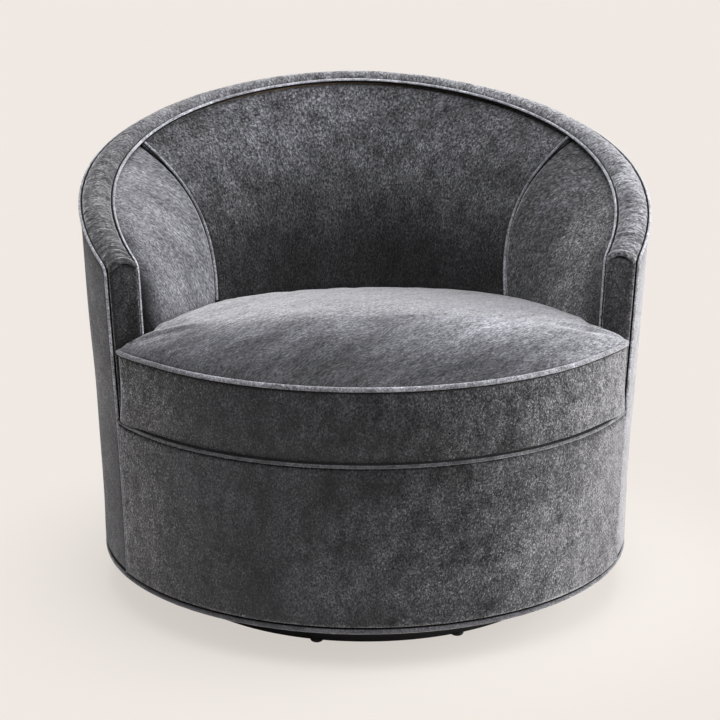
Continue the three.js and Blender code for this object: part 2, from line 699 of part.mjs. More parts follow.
// The standing half of the swivel, on the cross of the base. Everything here turns with the base.
function standingBase() {
  const base = new THREE.Group();
  base.rotation.z = degToRad(baseTurn);
  chair.add(base);

  const ring = [[ringRadius - ringWidth, ringCorner], [ringRadius - ringWidth + ringCorner, 0],
    [ringRadius - ringCorner, 0], [ringRadius, ringCorner], [ringRadius, ringHeight - ringCorner],
    [ringRadius - ringCorner, ringHeight], [ringRadius - ringWidth + ringCorner, ringHeight],
    [ringRadius - ringWidth, ringHeight - ringCorner], [ringRadius - ringWidth, ringCorner]];
  piece('base_ring', turned(ring, 52).translate(0, 0, ringFoot), blackSteel, base);
  piece('base_cross', plate(crossOutline(), ringTop - crossHeight, crossHeight, 5), blackSteel, base);

  const lowerHole = kingpinRadius + holeClearance;
  const lowerPlate = swivelPlate(lowerPlateSide, lowerPlateFoot, plateThickness, lowerHole,
    lowerBoltCircle, boltRadius + holeClearance);
  piece('swivel_lower_plate', lowerPlate.rotateZ(Math.PI / 4), zincSteel, base);

  const pinFoot = lowerPlateFoot - gap;
  const pinTop = upperPlateTop + gap;
  const kingpin = turned([[0, pinFoot - kingpinHeadHeight], [kingpinHeadRadius, pinFoot - kingpinHeadHeight],
    [kingpinHeadRadius, pinFoot], [kingpinRadius, pinFoot], [kingpinRadius, pinTop],
    [kingpinHeadRadius, pinTop], [kingpinHeadRadius - kingpinHeadHeight / 2, pinTop + kingpinHeadHeight],
    [0, pinTop + kingpinHeadHeight]], 16);
  piece('swivel_kingpin', kingpin, zincSteel, base);
  piece('ball_cage', ballCage(), zincSteel, base);

  const headTop = ringTop - crossHeight - gap;
  const nutFoot = lowerPlateFoot + plateThickness + gap;
  for (let i = 0; i < 4; i += 1) {
    const bolt = turned([[0, headTop - boltHeadHeight], [boltHeadRadius, headTop - boltHeadHeight],
      [boltHeadRadius, headTop], [boltRadius, headTop], [boltRadius, nutFoot], [boltHeadRadius, nutFoot],
      [boltHeadRadius, nutFoot + boltHeadHeight], [0, nutFoot + boltHeadHeight]], 6);
    const turn = i * Math.PI / 2;
    bolt.translate(lowerBoltCircle, 0, 0).rotateZ(turn);
    piece(`base_bolt_${i + 1}`, bolt, zincSteel, base);
  }

  // Two glides straddle each arm of the cross
  const middle = ringRadius - ringWidth / 2;
  const footRadius = glideRadius - glideHeight / 2;
  for (let i = 0; i < 8; i += 1) {
    const arm = Math.floor(i / 2) * 90 + (i % 2 ? glideSpread : -glideSpread);
    const glide = turned([[0, 0], [footRadius, 0], [glideRadius, glideHeight / 2],
      [glideRadius, glideHeight], [0, glideHeight]], 12);
    const { x, y } = polar(arm, middle, 0);
    piece(`glide_${i + 1}`, glide.translate(x, y, 0), nylon, base);
  }
}

// The cross of flat steel inside the ring, its four ends cut round to the ring's inside.
function crossOutline() {
  const reach = ringRadius - ringWidth - bendGap;
  const half = crossWidth / 2;
  const tip = Math.asin(half / reach);
  const shape = new THREE.Shape();
  for (let i = 0; i < 4; i += 1) {
    const turn = i * Math.PI / 2;
    shape.absarc(0, 0, reach, turn - tip, turn + tip, false);
    const inner = new THREE.Vector2(half, half).rotateAround(new THREE.Vector2(), turn);
    shape.lineTo(inner.x, inner.y);
  }
  shape.closePath();
  drill(shape, 0, 0, kingpinHeadRadius + 2 * holeClearance);
  for (let i = 0; i < 4; i += 1) {
    const hole = new THREE.Vector2(lowerBoltCircle, 0).rotateAround(new THREE.Vector2(), i * Math.PI / 2);
    drill(shape, hole.x, hole.y, boltRadius + holeClearance);
  }
  return shape;
}

// The ring that holds the balls of the bearing between the two plates, with its balls.
function ballCage() {
  const inner = ballCircle - cageWidth / 2;
  const outer = ballCircle + cageWidth / 2;
  const foot = ballHeight - cageThickness / 2;
  const ring = turned([[inner, foot], [outer, foot], [outer, foot + cageThickness],
    [inner, foot + cageThickness], [inner, foot]], 36);
  let cage = toSolid(ring);
  for (let i = 0; i < ballCount; i += 1) {
    const turn = 2 * Math.PI * i / ballCount;
    const ball = new THREE.SphereGeometry(ballRadius, 7, 5).rotateX(Math.PI / 2)
      .translate(ballCircle * Math.cos(turn), ballCircle * Math.sin(turn), ballHeight);
    cage = cage.add(toSolid(ball));
  }
  return toGeometry(cage);
}

// The loose seat cushion

// Its outline in plan: a bow in front of the arms, two ears behind their front panels' faces, and
// the round of the seat well. The ears flare out to the arms' outside. The bow and the rest can be
// set in or out by their own amounts.
function cushionOutline(bowOffset, wellOffset, height) {
  const earTip = cushionRadius + earFlare + Math.min(bowOffset, 0);
  const inset = cushionClearance + cushionWeltRadius - wellOffset;
  const roundRadius = wellRadius - weltProud - weltRadius - inset;
  const ahead = gap + armFrontThickness + inset;
  const turn = degToRad(armAngle);
  const earRadius = Math.sqrt(earTip ** 2 - ahead ** 2);
  const ear = besidePlane(armAngle, earRadius, ahead, height);

  // Where the ear's straight rear edge meets the round of the well
  const plane = new THREE.Vector2(Math.sin(turn), -Math.cos(turn));
  const start = besidePlane(armAngle, 0, ahead, height);
  const fromCentre = new THREE.Vector2(start.x, start.y + wellCentre);
  const along = plane.dot(fromCentre);
  const reach = -along + Math.sqrt(along ** 2 - fromCentre.lengthSq() + roundRadius ** 2);
  const notch = besidePlane(armAngle, reach, ahead, height);

  const earAngle = radToDeg(Math.atan2(ear.x, -ear.y));
  const bow = steps(-earAngle, earAngle, 26).map((angle) => {
    const flare = smoothstep(Math.abs(angle), earFlareStart, earAngle);
    return polar(angle, lerp(cushionRadius + bowOffset, earTip, flare), height);
  });
  const notchAngle = radToDeg(Math.atan2(notch.x, -(notch.y + wellCentre)));
  const round = steps(notchAngle, fullTurn - notchAngle, 24)
    .map((angle) => polar(angle, roundRadius, height).add(new THREE.Vector3(0, -wellCentre, 0)));
  const rearEdge = ear.clone().lerp(notch, 0.5);
  return [...bow, rearEdge, ...round, mirrored(rearEdge, -1)];
}

function seatCushion() {
  const foot = deckHeight;
  const weltTop = cushionWeltHeight;
  const tuck = cushionWeltRadius + gap + weltProud;
  const boxing = [
    [-3 * tuck, -2 * tuck, 0],
    [-tuck, -tuck, 0.06],
    [boxingBulge / 2, -boxingBulge / 2, 0.25],
    [boxingBulge, 0, 0.5],
    [boxingBulge / 2, -boxingBulge / 2, 0.78],
    [-weltProud, -weltProud - boxingBulge / 2, 0.93],
    [-tuck, -tuck, 1],
  ].map(([bow, well, share]) => cushionOutline(bow, well, lerp(foot, weltTop, share)));

  const rim = boxing[boxing.length - 1];
  const centre = new THREE.Vector3(0, -crownCentre, weltTop);
  const crownShares = [0.95, 0.86, 0.72, 0.52, 0.28];
  const crown = crownShares.map((share) => rim.map((point) => {
    const inner = centre.clone().lerp(point, share);
    inner.z += cushionCrown * (1 - share ** crownFullShare);
    return inner;
  }));
  const rings = [...boxing, ...crown];
  const size = rim.length;
  const positions = rings.flat().flatMap((point) => point.toArray());
  positions.push(centre.x, centre.y, foot, centre.x, centre.y, weltTop + cushionCrown);
  const footPole = rings.length * size;
  const faces = [];
  for (let j = 0; j < size; j += 1) {
    const next = (j + 1) % size;
    for (let i = 0; i < rings.length - 1; i += 1) {
      const here = i * size;
      faces.push(here + j, here + next, here + size + next, here + j, here + size + next, here + size + j);
    }
    const last = (rings.length - 1) * size;
    faces.push(next, j, footPole, last + j, last + next, footPole + 1);
  }
  piece('seat_cushion', outward(positions, faces), velvet);
  piece('cushion_welt', cord(cushionOutline(0, 0, weltTop), cushionWeltRadius, 5, true), pipedVelvet);
}

outerShell();
insideWall();
railBand();
railWelts();
piece('back_seam_welt_right', seamWelt(1), pipedVelvet);
piece('back_seam_welt_left', seamWelt(-1), pipedVelvet);
piece('arm_front_right', armFront(1), darkVelvet);
piece('arm_front_left', armFront(-1), darkVelvet);
apron();
ribs();
topRail();
deckRails();
seatSprings();
deckPad();
bottom();
turningPlate();
standingBase();
seatCushion();

export default chair;
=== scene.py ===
# %% [markdown]
# # A swivel barrel chair in charcoal velvet
#
# The chair is a round drum that carries a barrel-shaped back, a deep loose cushion and a sloping
# padded rail, and it turns on a low black steel ring. Its frame, plates, springs and screws come
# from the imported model. Everything that is covered in cloth is made here, around that frame.
#
# All lengths are in metres. The floor is at height 0, the swivel axis stands at the origin and the
# chair faces -Y.

# %% Load the frame
import math
import json

import bmesh
import bpy
from mathutils import Matrix, Vector, noise


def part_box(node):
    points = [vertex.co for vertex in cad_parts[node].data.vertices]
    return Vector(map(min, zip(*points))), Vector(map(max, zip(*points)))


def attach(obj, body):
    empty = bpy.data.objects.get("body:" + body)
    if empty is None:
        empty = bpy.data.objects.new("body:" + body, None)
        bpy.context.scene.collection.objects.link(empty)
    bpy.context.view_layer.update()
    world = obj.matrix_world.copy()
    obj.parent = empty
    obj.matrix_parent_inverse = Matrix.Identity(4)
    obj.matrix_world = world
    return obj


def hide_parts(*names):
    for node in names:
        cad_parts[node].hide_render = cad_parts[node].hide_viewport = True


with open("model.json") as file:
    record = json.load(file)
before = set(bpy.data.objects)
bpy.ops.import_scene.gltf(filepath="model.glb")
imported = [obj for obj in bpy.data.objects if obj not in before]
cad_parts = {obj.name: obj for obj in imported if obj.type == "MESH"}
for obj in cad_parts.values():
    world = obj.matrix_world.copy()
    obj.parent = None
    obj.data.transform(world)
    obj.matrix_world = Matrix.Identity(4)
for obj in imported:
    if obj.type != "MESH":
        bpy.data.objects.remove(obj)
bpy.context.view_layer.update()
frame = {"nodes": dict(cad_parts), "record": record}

# %% [markdown]
# ## Camera and stage
#
# The camera stands about three metres in front of the chair, a little to the left, and looks down on
# it by sixteen degrees through a long lens. A long lens keeps the round drum from bulging. Its axes
# are worked out from four small angles, which keeps each of them easy to correct by itself.

# %% Camera
CAMERA_DISTANCE = 3.065
CAMERA_HEIGHT = 1.2225
CAMERA_TURN, CAMERA_PITCH, CAMERA_YAW, CAMERA_ROLL = (
    math.radians(a) for a in (4.0, 15.88, -0.154, 0.054)
)
LENS_MM, SENSOR_MM = 100.0, 36.0


def camera_axes():
    """Right, up and back of the camera in the frame's own axes."""
    yaw = Vector((math.sin(CAMERA_YAW), math.cos(CAMERA_YAW), 0))
    aside = Vector((yaw.y, -yaw.x, 0))
    down, level = math.sin(CAMERA_PITCH), math.cos(CAMERA_PITCH)
    forward = yaw * level - Vector((0, 0, down))
    upward = yaw * down + Vector((0, 0, level))
    right = aside * math.cos(CAMERA_ROLL) - upward * math.sin(CAMERA_ROLL)
    up = aside * math.sin(CAMERA_ROLL) + upward * math.cos(CAMERA_ROLL)
    turn = Matrix.Rotation(-CAMERA_TURN, 3, "Z")
    return [turn @ axis for axis in (right, up, -forward)]


camera = bpy.data.objects.new("camera", bpy.data.cameras.new("camera"))
bpy.context.scene.collection.objects.link(camera)
camera.data.lens, camera.data.sensor_width = LENS_MM, SENSOR_MM
place = Matrix.Rotation(-CAMERA_TURN, 4, "Z") @ Vector((0, -CAMERA_DISTANCE, CAMERA_HEIGHT))
camera.matrix_world = Matrix.Translation(place) @ Matrix(camera_axes()).transposed().to_4x4()
bpy.context.scene.camera = camera
bpy.context.scene.view_settings.view_transform = "Standard"
print("camera at", tuple(round(c, 3) for c in place))

# %% [markdown]
# ## Node helper
#
# A material is a small graph. A helper that adds one node, sets its sockets and links them in one
# line keeps the graphs below short enough to read.

# %% Node helper


def new_material(name):
    """An empty material with its node tree and its output node."""
    material = bpy.data.materials.new(name)
    material.use_nodes = True
    tree = material.node_tree
    tree.nodes.clear()
    return material, tree, tree.nodes.new("ShaderNodeOutputMaterial")


def node(tree, kind, settings=None, **sockets):
    """Adds a node. A socket is named with _ for a space and takes a value or another's output."""
    made = tree.nodes.new("ShaderNode" + kind)
    for key, value in (settings or {}).items():
        setattr(made, key, value)
    for key, value in sockets.items():
        by_number = key[0] == "i" and key[1:].isdigit()
        socket = made.inputs[int(key[1:]) if by_number else key.replace("_", " ")]
        if isinstance(value, bpy.types.NodeSocket):
            tree.links.new(value, socket)
        else:
            socket.default_value = value
    return made


def surface(tree, out, **sockets):
    """Ends a material with its shader."""
    tree.links.new(node(tree, "BsdfPrincipled", **sockets).outputs[0], out.inputs[0])


def linear(red, green, blue):
    """A colour as it is seen, 0 to 255, in the linear values that a shader takes."""
    seen = [c / 255 for c in (red, green, blue)]
    return tuple(c / 12.92 if c <= 0.04045 else ((c + 0.055) / 1.055) ** 2.4 for c in seen) + (1.0,)


# %% [markdown]
# ## Floor, backdrop and light
#
# The background is one pale warm tone from edge to edge. The floor and the world show that tone to
# the camera, and a share of real diffuse cloth in the floor keeps the soft shadow under the chair.
# The light is plain: two large soft boxes overhead and two on the right, a very weak one on the left,
# and a faint grey world that fills the shadows.

# %% Floor and world
BACKGROUND = linear(240, 233, 227)
FLOOR_SIZE, FLOOR_PAPER = 14.0, (0.72, 0.69, 0.66, 1.0)
FLOOR_SHADOW_SHARE = 0.30
SHADOW_REACH = (0.30, 0.75)
FILL_STRENGTH = 0.05
FILL_TONE = (0.80, 0.82, 0.86, 1.0)


def stage_floor():
    mesh = bmesh.new()
    bmesh.ops.create_grid(mesh, x_segments=1, y_segments=1, size=FLOOR_SIZE / 2)
    data = bpy.data.meshes.new("floor")
    mesh.to_mesh(data)
    mesh.free()
    floor = bpy.data.objects.new("floor", data)
    bpy.context.scene.collection.objects.link(floor)
    material, tree, out = new_material("floor_paper")
    paper = node(tree, "BsdfDiffuse", Color=FLOOR_PAPER)
    glow = node(tree, "Emission", Color=BACKGROUND, Strength=1.0)
    # The real shadow is kept near the chair and fades out into the even tone
    seen = node(tree, "LightPath").outputs["Is Camera Ray"]
    place = node(tree, "TexCoord").outputs["Object"]
    away = node(tree, "VectorMath", {"operation": "LENGTH"}, i0=place).outputs["Value"]
    even = node(tree, "MapRange", {"interpolation_type": "SMOOTHSTEP"}, Value=away,
                From_Min=SHADOW_REACH[0], From_Max=SHADOW_REACH[1],
                To_Min=1 - FLOOR_SHADOW_SHARE, To_Max=1.0)
    share = node(tree, "Math", {"operation": "MULTIPLY"}, i0=seen, i1=even.outputs[0])
    mixed = node(tree, "MixShader", i0=share.outputs[0], i1=paper.outputs[0], i2=glow.outputs[0])
    tree.links.new(mixed.outputs[0], out.inputs[0])
    data.materials.append(material)


def studio_world():
    world = bpy.data.worlds.new("studio")
    bpy.context.scene.world = world
    world.use_nodes = True
    tree = world.node_tree
    tree.nodes.clear()
    fill = node(tree, "Background", Color=FILL_TONE, Strength=FILL_STRENGTH)
    shown = node(tree, "Background", Color=BACKGROUND, Strength=1.0)
    path = node(tree, "LightPath")
    seen = node(tree, "Math", {"operation": "MAXIMUM"}, i0=path.outputs["Is Camera Ray"],
                i1=path.outputs["Is Glossy Ray"])
    mixed = node(tree, "MixShader", i0=seen.outputs[0], i1=fill.outputs[0], i2=shown.outputs[0])
    out = tree.nodes.new("ShaderNodeOutputWorld")
    tree.links.new(mixed.outputs[0], out.inputs[0])


stage_floor()
studio_world()

# %% Lamps
CHAIR_MIDDLE = Vector((0, 0, 0.40))
LAMPS = {
    # name: (place, size, power in watts)
    "top_box_behind": (Vector((0.3, 1.1, 2.9)), 2.2, 50.0),
    "top_box_in_front": (Vector((0.0, -1.4, 2.9)), 2.0, 72.0),
    "right_box": (Vector((3.1, 0.1, 1.3)), 1.9, 140.0),
    "right_front_box": (Vector((2.6, -1.8, 1.5)), 1.6, 35.0),
    "left_box": (Vector((-3.1, 0.5, 1.2)), 1.9, 5.0),
}
for lamp_name, (lamp_place, lamp_size, power) in LAMPS.items():
    lamp = bpy.data.objects.new(lamp_name, bpy.data.lights.new(lamp_name, "AREA"))
    lamp.data.size, lamp.data.energy = lamp_size, power
    lamp.matrix_world = (Matrix.Translation(lamp_place)
                         @ (lamp_place - CHAIR_MIDDLE).to_track_quat("Z", "Y").to_matrix().to_4x4())
    bpy.context.scene.collection.objects.link(lamp)
print("lamps:", ", ".join(LAMPS))

# %% [markdown]
# ## The form of the barrel
#
# Every cover follows one form: an outside that flares a little towards the shoulder, a rail that
# climbs from the arms to the back, and a round seat well whose wall leans out to the rail. These
# few sizes are the ones that the frame was built to, so that each cover lies on its board.

# %% Barrel sizes
FULL_TURN = 360.0
ARM_ANGLE, BACK_ANGLE = 64.5, 180.0
ARM_TOP, BACK_TOP, RISE_POWER = 0.558, 0.748, 1.8
RAIL_WIDTH, RAIL_EDGE_DROP, RAIL_CROWN = 0.050, 0.005, 0.007
SHELL_FOOT, SHELL_FOOT_RADIUS, SHELL_FLARE, SHOULDER = 0.070, 0.419, 0.022, 0.700
WELL_RADIUS, WELL_CENTRE = 0.346, 0.176
PAD_CROWN, PAD_CROWN_START = 0.005, 20.0
SEAM_FOOT_ANGLE, SEAM_TOP_ANGLE, SEAM_BOW = 108.5, 116.5, 8.5
DECK, CUSHION_SEAM = 0.318, 0.428
WELT_RADIUS, CUSHION_WELT_RADIUS, SEAM_WELT_RADIUS = 0.003, 0.0035, 0.002
GAP = 0.0003


def lerp(start, end, share):
    return start + (end - start) * share


def shares(count):
    """Even shares from 0 to 1, both ends included."""
    return [i / count for i in range(count + 1)]


def ease(value, low, high):
    """0 below low, 1 above high, and a smooth rise between them."""
    share = min(max((value - low) / (high - low), 0.0), 1.0)
    return share * share * (3 - 2 * share)


def polar(angle, radius, z):
    """The point at an angle from the front, a distance from the swivel axis and a height."""
    turn = math.radians(angle)
    return Vector((radius * math.sin(turn), -radius * math.cos(turn), z))


def beside_plane(angle, radius, ahead, z):
    """The point in a radial plane, moved squarely out of it towards the front."""
    turn = math.radians(angle)
    return polar(angle, radius, z) - Vector((math.cos(turn), math.sin(turn), 0)) * ahead


def outer_radius(z):
    return SHELL_FOOT_RADIUS + SHELL_FLARE * ease(z, SHELL_FOOT, SHOULDER)


def rail_top(angle):
    share = (min(angle, FULL_TURN - angle) - ARM_ANGLE) / (BACK_ANGLE - ARM_ANGLE)
    return lerp(ARM_TOP, BACK_TOP, 1 - (1 - min(max(share, 0.0), 1.0)) ** RISE_POWER)


def rail_joint(angle):
    return rail_top(angle) - RAIL_EDGE_DROP


def rail_outside(angle):
    return outer_radius(rail_top(angle))


def well_edge(angle):
    turn = math.radians(angle)
    return WELL_CENTRE * math.cos(turn) + math.sqrt(WELL_RADIUS**2 - (WELL_CENTRE * math.sin(turn)) ** 2)


def wall_radius(angle, share):
    """The padded inside wall: share 0 is the cushion's seam and 1 is the rail."""
    up = min(max(share, 0.0), 1.0)
    behind_arm = min(angle, FULL_TURN - angle) - ARM_ANGLE
    swell = PAD_CROWN * math.sin(math.pi * up) * ease(behind_arm, 0, PAD_CROWN_START)
    return lerp(well_edge(angle), rail_outside(angle) - RAIL_WIDTH, up) - swell


def wall_point(angle, share):
    """A point of that wall. Below the cushion's seam, share runs to -1 at the deck."""
    end = DECK + GAP if share < 0 else rail_joint(angle)
    return polar(angle, wall_radius(angle, share), lerp(CUSHION_SEAM, end, abs(share)))


def seam_angle(share):
    """Where the seam between inside back and inside arm stands on the right side."""
    up = max(share, 0.0)
    return lerp(SEAM_FOOT_ANGLE, SEAM_TOP_ANGLE, up) + SEAM_BOW * math.sin(math.pi * up)


print("rail from", ARM_TOP, "to", BACK_TOP, "and well edge behind", round(well_edge(BACK_ANGLE), 3))

# %% [markdown]
# ## How a panel is upholstered
#
# A cover panel is cloth pulled over foam and sewn along its edges. Its surface can be given by one
# formula, so the panel starts as a flat grid, and each corner of the grid is put where the formula
# says. Near an edge the cloth rolls back into the seam, which draws the dark line beside the piping.
# The grid's rows stand closer there, because a roll of a few millimetres needs them. The grid also
# keeps a flat map of the cloth in metres, so that the pile can lie in one direction on a curved
# panel. Solidify then gives the cloth and its wadding a real thickness.

# %% Panel helper
ROLL = 0.009
COVER_THICKNESS = 0.007
SLOPE_STEP = 1e-4
CROWDING = 0.75
MEASURE_STEPS = 24
MERGE_DISTANCE = 1e-6


def crowd(share):
    """Moves even shares towards both ends, where the edge rolls over."""
    return share - CROWDING * math.sin(2 * math.pi * share) / (2 * math.pi)


def rolled(distance, radius):
    """How far cloth has sunk at a distance from its seam: a quarter circle."""
    if distance >= radius:
        return 0.0
    return radius - math.sqrt(max(radius**2 - (radius - distance) ** 2, 0.0))


def add_object(name, mesh, material=None):
    data = bpy.data.meshes.new(name)
    mesh.to_mesh(data)
    mesh.free()
    for polygon in data.polygons:
        polygon.use_smooth = True
    made = bpy.data.objects.new(name, data)
    bpy.context.scene.collection.objects.link(made)
    if material:
        data.materials.append(material)
    return made


def panel(name, at, columns, rows, relief=None, roll=ROLL, thickness=COVER_THICKNESS, material=None):
    """Upholsters the surface at(u, v). Its outside is where u turned onto v points."""
    mesh = bmesh.new()
    bmesh.ops.create_grid(mesh, x_segments=columns, y_segments=rows, size=0.5)
    stops = shares(MEASURE_STEPS)
    long_way = sum((at(b, 0.5) - at(a, 0.5)).length for a, b in zip(stops, stops[1:]))
    short_way = sum((at(0.5, b) - at(0.5, a)).length for a, b in zip(stops, stops[1:]))
    cloth_map = mesh.loops.layers.uv.new("cloth")
    for face in mesh.faces:
        for loop in face.loops:
            flat = loop.vert.co
            loop[cloth_map].uv = (crowd(flat.x + 0.5) * long_way, crowd(flat.y + 0.5) * short_way)
    for vert in mesh.verts:
        u, v = crowd(vert.co.x + 0.5), crowd(vert.co.y + 0.5)
        along = at(min(u + SLOPE_STEP, 1), v) - at(max(u - SLOPE_STEP, 0), v)
        across = at(u, min(v + SLOPE_STEP, 1)) - at(u, max(v - SLOPE_STEP, 0))
        outward = along.cross(across).normalized()
        from_edge = min(min(u, 1 - u) * long_way, min(v, 1 - v) * short_way)
        lift = -rolled(from_edge, roll)
        if relief:
            lift += relief(u, v, from_edge)
        vert.co = at(u, v) + outward * lift
    bmesh.ops.recalc_face_normals(mesh, faces=mesh.faces)
    middle = at(0.5, 0.5)
    sample = min(mesh.faces, key=lambda face: (face.calc_center_median() - middle).length)
    facing = (at(0.5 + SLOPE_STEP, 0.5) - middle).cross(at(0.5, 0.5 + SLOPE_STEP) - middle)
    if sample.normal.dot(facing) < 0:
        bmesh.ops.reverse_faces(mesh, faces=mesh.faces)
    made = add_object(name, mesh, material)
    solid = made.modifiers.new("thickness", "SOLIDIFY")
    solid.thickness, solid.offset, solid.use_even_offset = thickness, -1, True
    print(f"{name}: {long_way:.3f} x {short_way:.3f} m, {len(made.data.polygons)} faces")
    return made


# %% [markdown]
# ## Velvet
#
# Velvet is dark where you look straight into its pile and pale where you look across it, which is
# what a shader's sheen does. Its pile also leans this way and that: every tuft a little, every brush
# stroke of the hand more. So each material moves the surface's normal by four patterns, from broad
# clouds to single tufts, and lightens or darkens the colour with them. The patterns are drawn out
# along the brushed direction of each panel, and each panel gets its own offset, because panels are
# cut from different places of the cloth. The chair is one charcoal velvet, but each panel gets its own
# shade and sheen, set to the light that falls on it here: lit and shaded copies of one velvet, which is
# painted light and shade. Ramps along a panel's axes paint parts of it lighter or darker, painted light
# and painted shade, and its pile can also lean one way, as if combed.

# %% Velvet material
PILE_SHADE = (0.040, 0.040, 0.0445)
SHEEN_SHADE = (0.865, 0.86, 0.89, 1.0)
SHEEN_ROUGHNESS = 0.45
BRUSHED_UP, BRUSHED_UPRIGHT = (0.9, 1.2, 1.0), (0.9, 0.9, 1.2)
# Each layer of pile: marks in a metre, detail, how much it changes the colour, how far the pile leans
MOTTLING = {
    "clouds": (7.0, 2.0, 0.60, 0.45),
    "patches": (42.0, 4.0, 0.80, 0.75),
    "specks": (300.0, 4.0, 1.30, 0.80),
}
TUFTS_IN_A_METRE, TUFT_TONE, TUFT_LEAN = 620.0, 0.95, 0.60
MARK_ROUGHNESS, MARK_SPAN, DARKEST_MARK = 0.62, (0.25, 0.75), 0.12
PILE_ROUGHNESS, PILE_GLOSS = 0.85, 0.12
HALF = (0.5, 0.5, 0.5)


def total(tree, first, second, operation="ADD"):
    return node(tree, "Math", {"operation": operation}, i0=first, i1=second).outputs[0]


def vectors(tree, operation, **sockets):
    return node(tree, "VectorMath", {"operation": operation}, **sockets).outputs[0]


def scaled(tree, vector, by):
    return vectors(tree, "SCALE", i0=vector, Scale=by)


def leaning(tree, pattern, by):
    """How far a pattern's colour, which is grey on average, turns the pile aside."""
    return scaled(tree, vectors(tree, "SUBTRACT", i0=pattern, i1=HALF), by)


def way_along(tree, coords, axis, start, end):
    """0 where a coordinate is at the start, 1 at the end and beyond it, with a soft rise."""
    place = node(tree, "SeparateXYZ", Vector=coords).outputs[axis]
    return node(tree, "MapRange", {"interpolation_type": "SMOOTHSTEP"}, Value=place, From_Min=start,
                From_Max=end).outputs[0]


def velvet(name, shade=1.0, sheen=0.9, offset=0.0, contrast=1.0, lay=0.0, brushed=BRUSHED_UP, on="UV",
           painted_light_ramps=(), combed=None):
    """Pile cloth. The shade scales its colour, sheen its bloom, and the offset moves its patches. Each
    panel's shade and sheen stand in for the light it gets, painted light and shade.

    The patterns lie on the cloth's flat map or on the object's coordinates. They are turned by lay,
    in degrees, and then drawn out along the axes by brushed. Each ramp of painted light and shade gives
    an axis, two places on it and how many times lighter the colour is at the second, standing in for
    more or less light there. Combed gives an axis, two places and the direction in which hands have
    combed the pile at the second.
    """
    material, tree, out = new_material(name)
    coords = node(tree, "TexCoord").outputs[on]
    brushed = node(tree, "Mapping", {"vector_type": "TEXTURE"}, Vector=coords,
                   Location=(offset, 2 * offset, -offset), Scale=brushed,
                   Rotation=(0, 0, math.radians(lay))).outputs[0]
    tufts = node(tree, "TexVoronoi", Vector=brushed, Scale=TUFTS_IN_A_METRE)
    tone = node(tree, "MapRange", Value=tufts.outputs["Color"], To_Min=1 - TUFT_TONE * contrast,
                To_Max=1 + TUFT_TONE * contrast).outputs[0]
    leans = [leaning(tree, tufts.outputs["Color"], TUFT_LEAN * contrast)]
    for scale, detail, share, lean in MOTTLING.values():
        marks = node(tree, "TexNoise", Vector=brushed, Scale=scale, Detail=detail, Roughness=MARK_ROUGHNESS)
        span = share * contrast
        lit = node(tree, "MapRange", {"clamp": False}, Value=marks.outputs[0], From_Min=MARK_SPAN[0],
                   From_Max=MARK_SPAN[1], To_Min=1 - span, To_Max=1 + span).outputs[0]
        tone = total(tree, tone, total(tree, lit, DARKEST_MARK, "MAXIMUM"), "MULTIPLY")
        leans.append(leaning(tree, marks.outputs["Color"], lean * contrast))
    # Painted light and shade: the colour grows lighter or darker along an axis, for more or less light
    # there
    for axis, start, end, times in painted_light_ramps:
        way = way_along(tree, coords, axis, start, end)
        tone = total(tree, tone, total(tree, 1.0, total(tree, way, times - 1, "MULTIPLY")), "MULTIPLY")
    if combed:
        axis, start, end, direction = combed
        leans.append(scaled(tree, direction, way_along(tree, coords, axis, start, end)))
    normal = node(tree, "NewGeometry").outputs["Normal"]
    for lean in leans:
        normal = vectors(tree, "ADD", i0=normal, i1=lean)
    colour = scaled(tree, tuple(c * shade for c in PILE_SHADE), tone)
    surface(tree, out, Base_Color=colour, Roughness=PILE_ROUGHNESS, Specular_IOR_Level=PILE_GLOSS,
            Sheen_Weight=sheen, Sheen_Roughness=SHEEN_ROUGHNESS, Sheen_Tint=SHEEN_SHADE,
            Normal=vectors(tree, "NORMALIZE", i0=normal))
    return material


# %% [markdown]
# ## Outer cover
#
# One wide piece of velvet goes round the barrel from arm to arm. It is nailed under the bottom board,
# and a seam joins it to the rail along the top.

# %% Outer cover
SEAM_REACH = 0.02


def outside(u, v):
    angle = lerp(ARM_ANGLE, FULL_TURN - ARM_ANGLE, u)
    z = lerp(SHELL_FOOT, rail_joint(angle) - WELT_RADIUS / 2, v)
    return polar(angle, outer_radius(z), z)


def surface_relief(at, size, height, seed):
    """Slow lumps of the wadding under the cloth, which die away at the seams."""
    start = Vector((seed, seed, seed))
    return lambda u, v, edge: height * noise.noise(at(u, v) / size + start) * ease(edge, 0, SEAM_REACH)


# Painted shade: the outer cover is painted darker on its left side, where little light falls, and its shade
# and sheen are set to the light it gets.
outside_velvet = velvet("velvet_outside", shade=2.0, sheen=1.0, offset=3.1, contrast=0.5,
                        painted_light_ramps=[("X", 1.0, 1.7, 0.7)], combed=("X", 1.2, 1.68, (0.0, -0.26, 0.0)))
outer_cover = panel("outer_cover", outside, columns=200, rows=60, material=outside_velvet,
                    relief=surface_relief(outside, size=0.14, height=0.0012, seed=1.0))
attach(outer_cover, "chair")
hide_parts("outer_shell")

# %% [markdown]
# ## Apron
#
# The front of the drum is a second piece, between the two arms. It stands a few millimetres proud
# at the top, where the seat deck pushes it out.

# %% Apron
APRON_ANGLE = 63.6
APRON_FOOT_RADIUS, APRON_LEAN, APRON_TOP = 0.423, 0.007, 0.314


def apron_face(u, v):
    angle = lerp(-APRON_ANGLE, APRON_ANGLE, u)
    return polar(angle, APRON_FOOT_RADIUS + APRON_LEAN * v, lerp(SHELL_FOOT, APRON_TOP, v))


# Painted light and shade: the apron's shade and sheen are set to the light that falls on it.
apron = panel("apron_cover", apron_face, columns=140, rows=40,
              relief=surface_relief(apron_face, size=0.11, height=0.0012, seed=4.0),
              material=velvet("velvet_apron", shade=0.75, sheen=0.88, offset=7.7))
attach(apron, "chair")
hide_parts("front_apron")
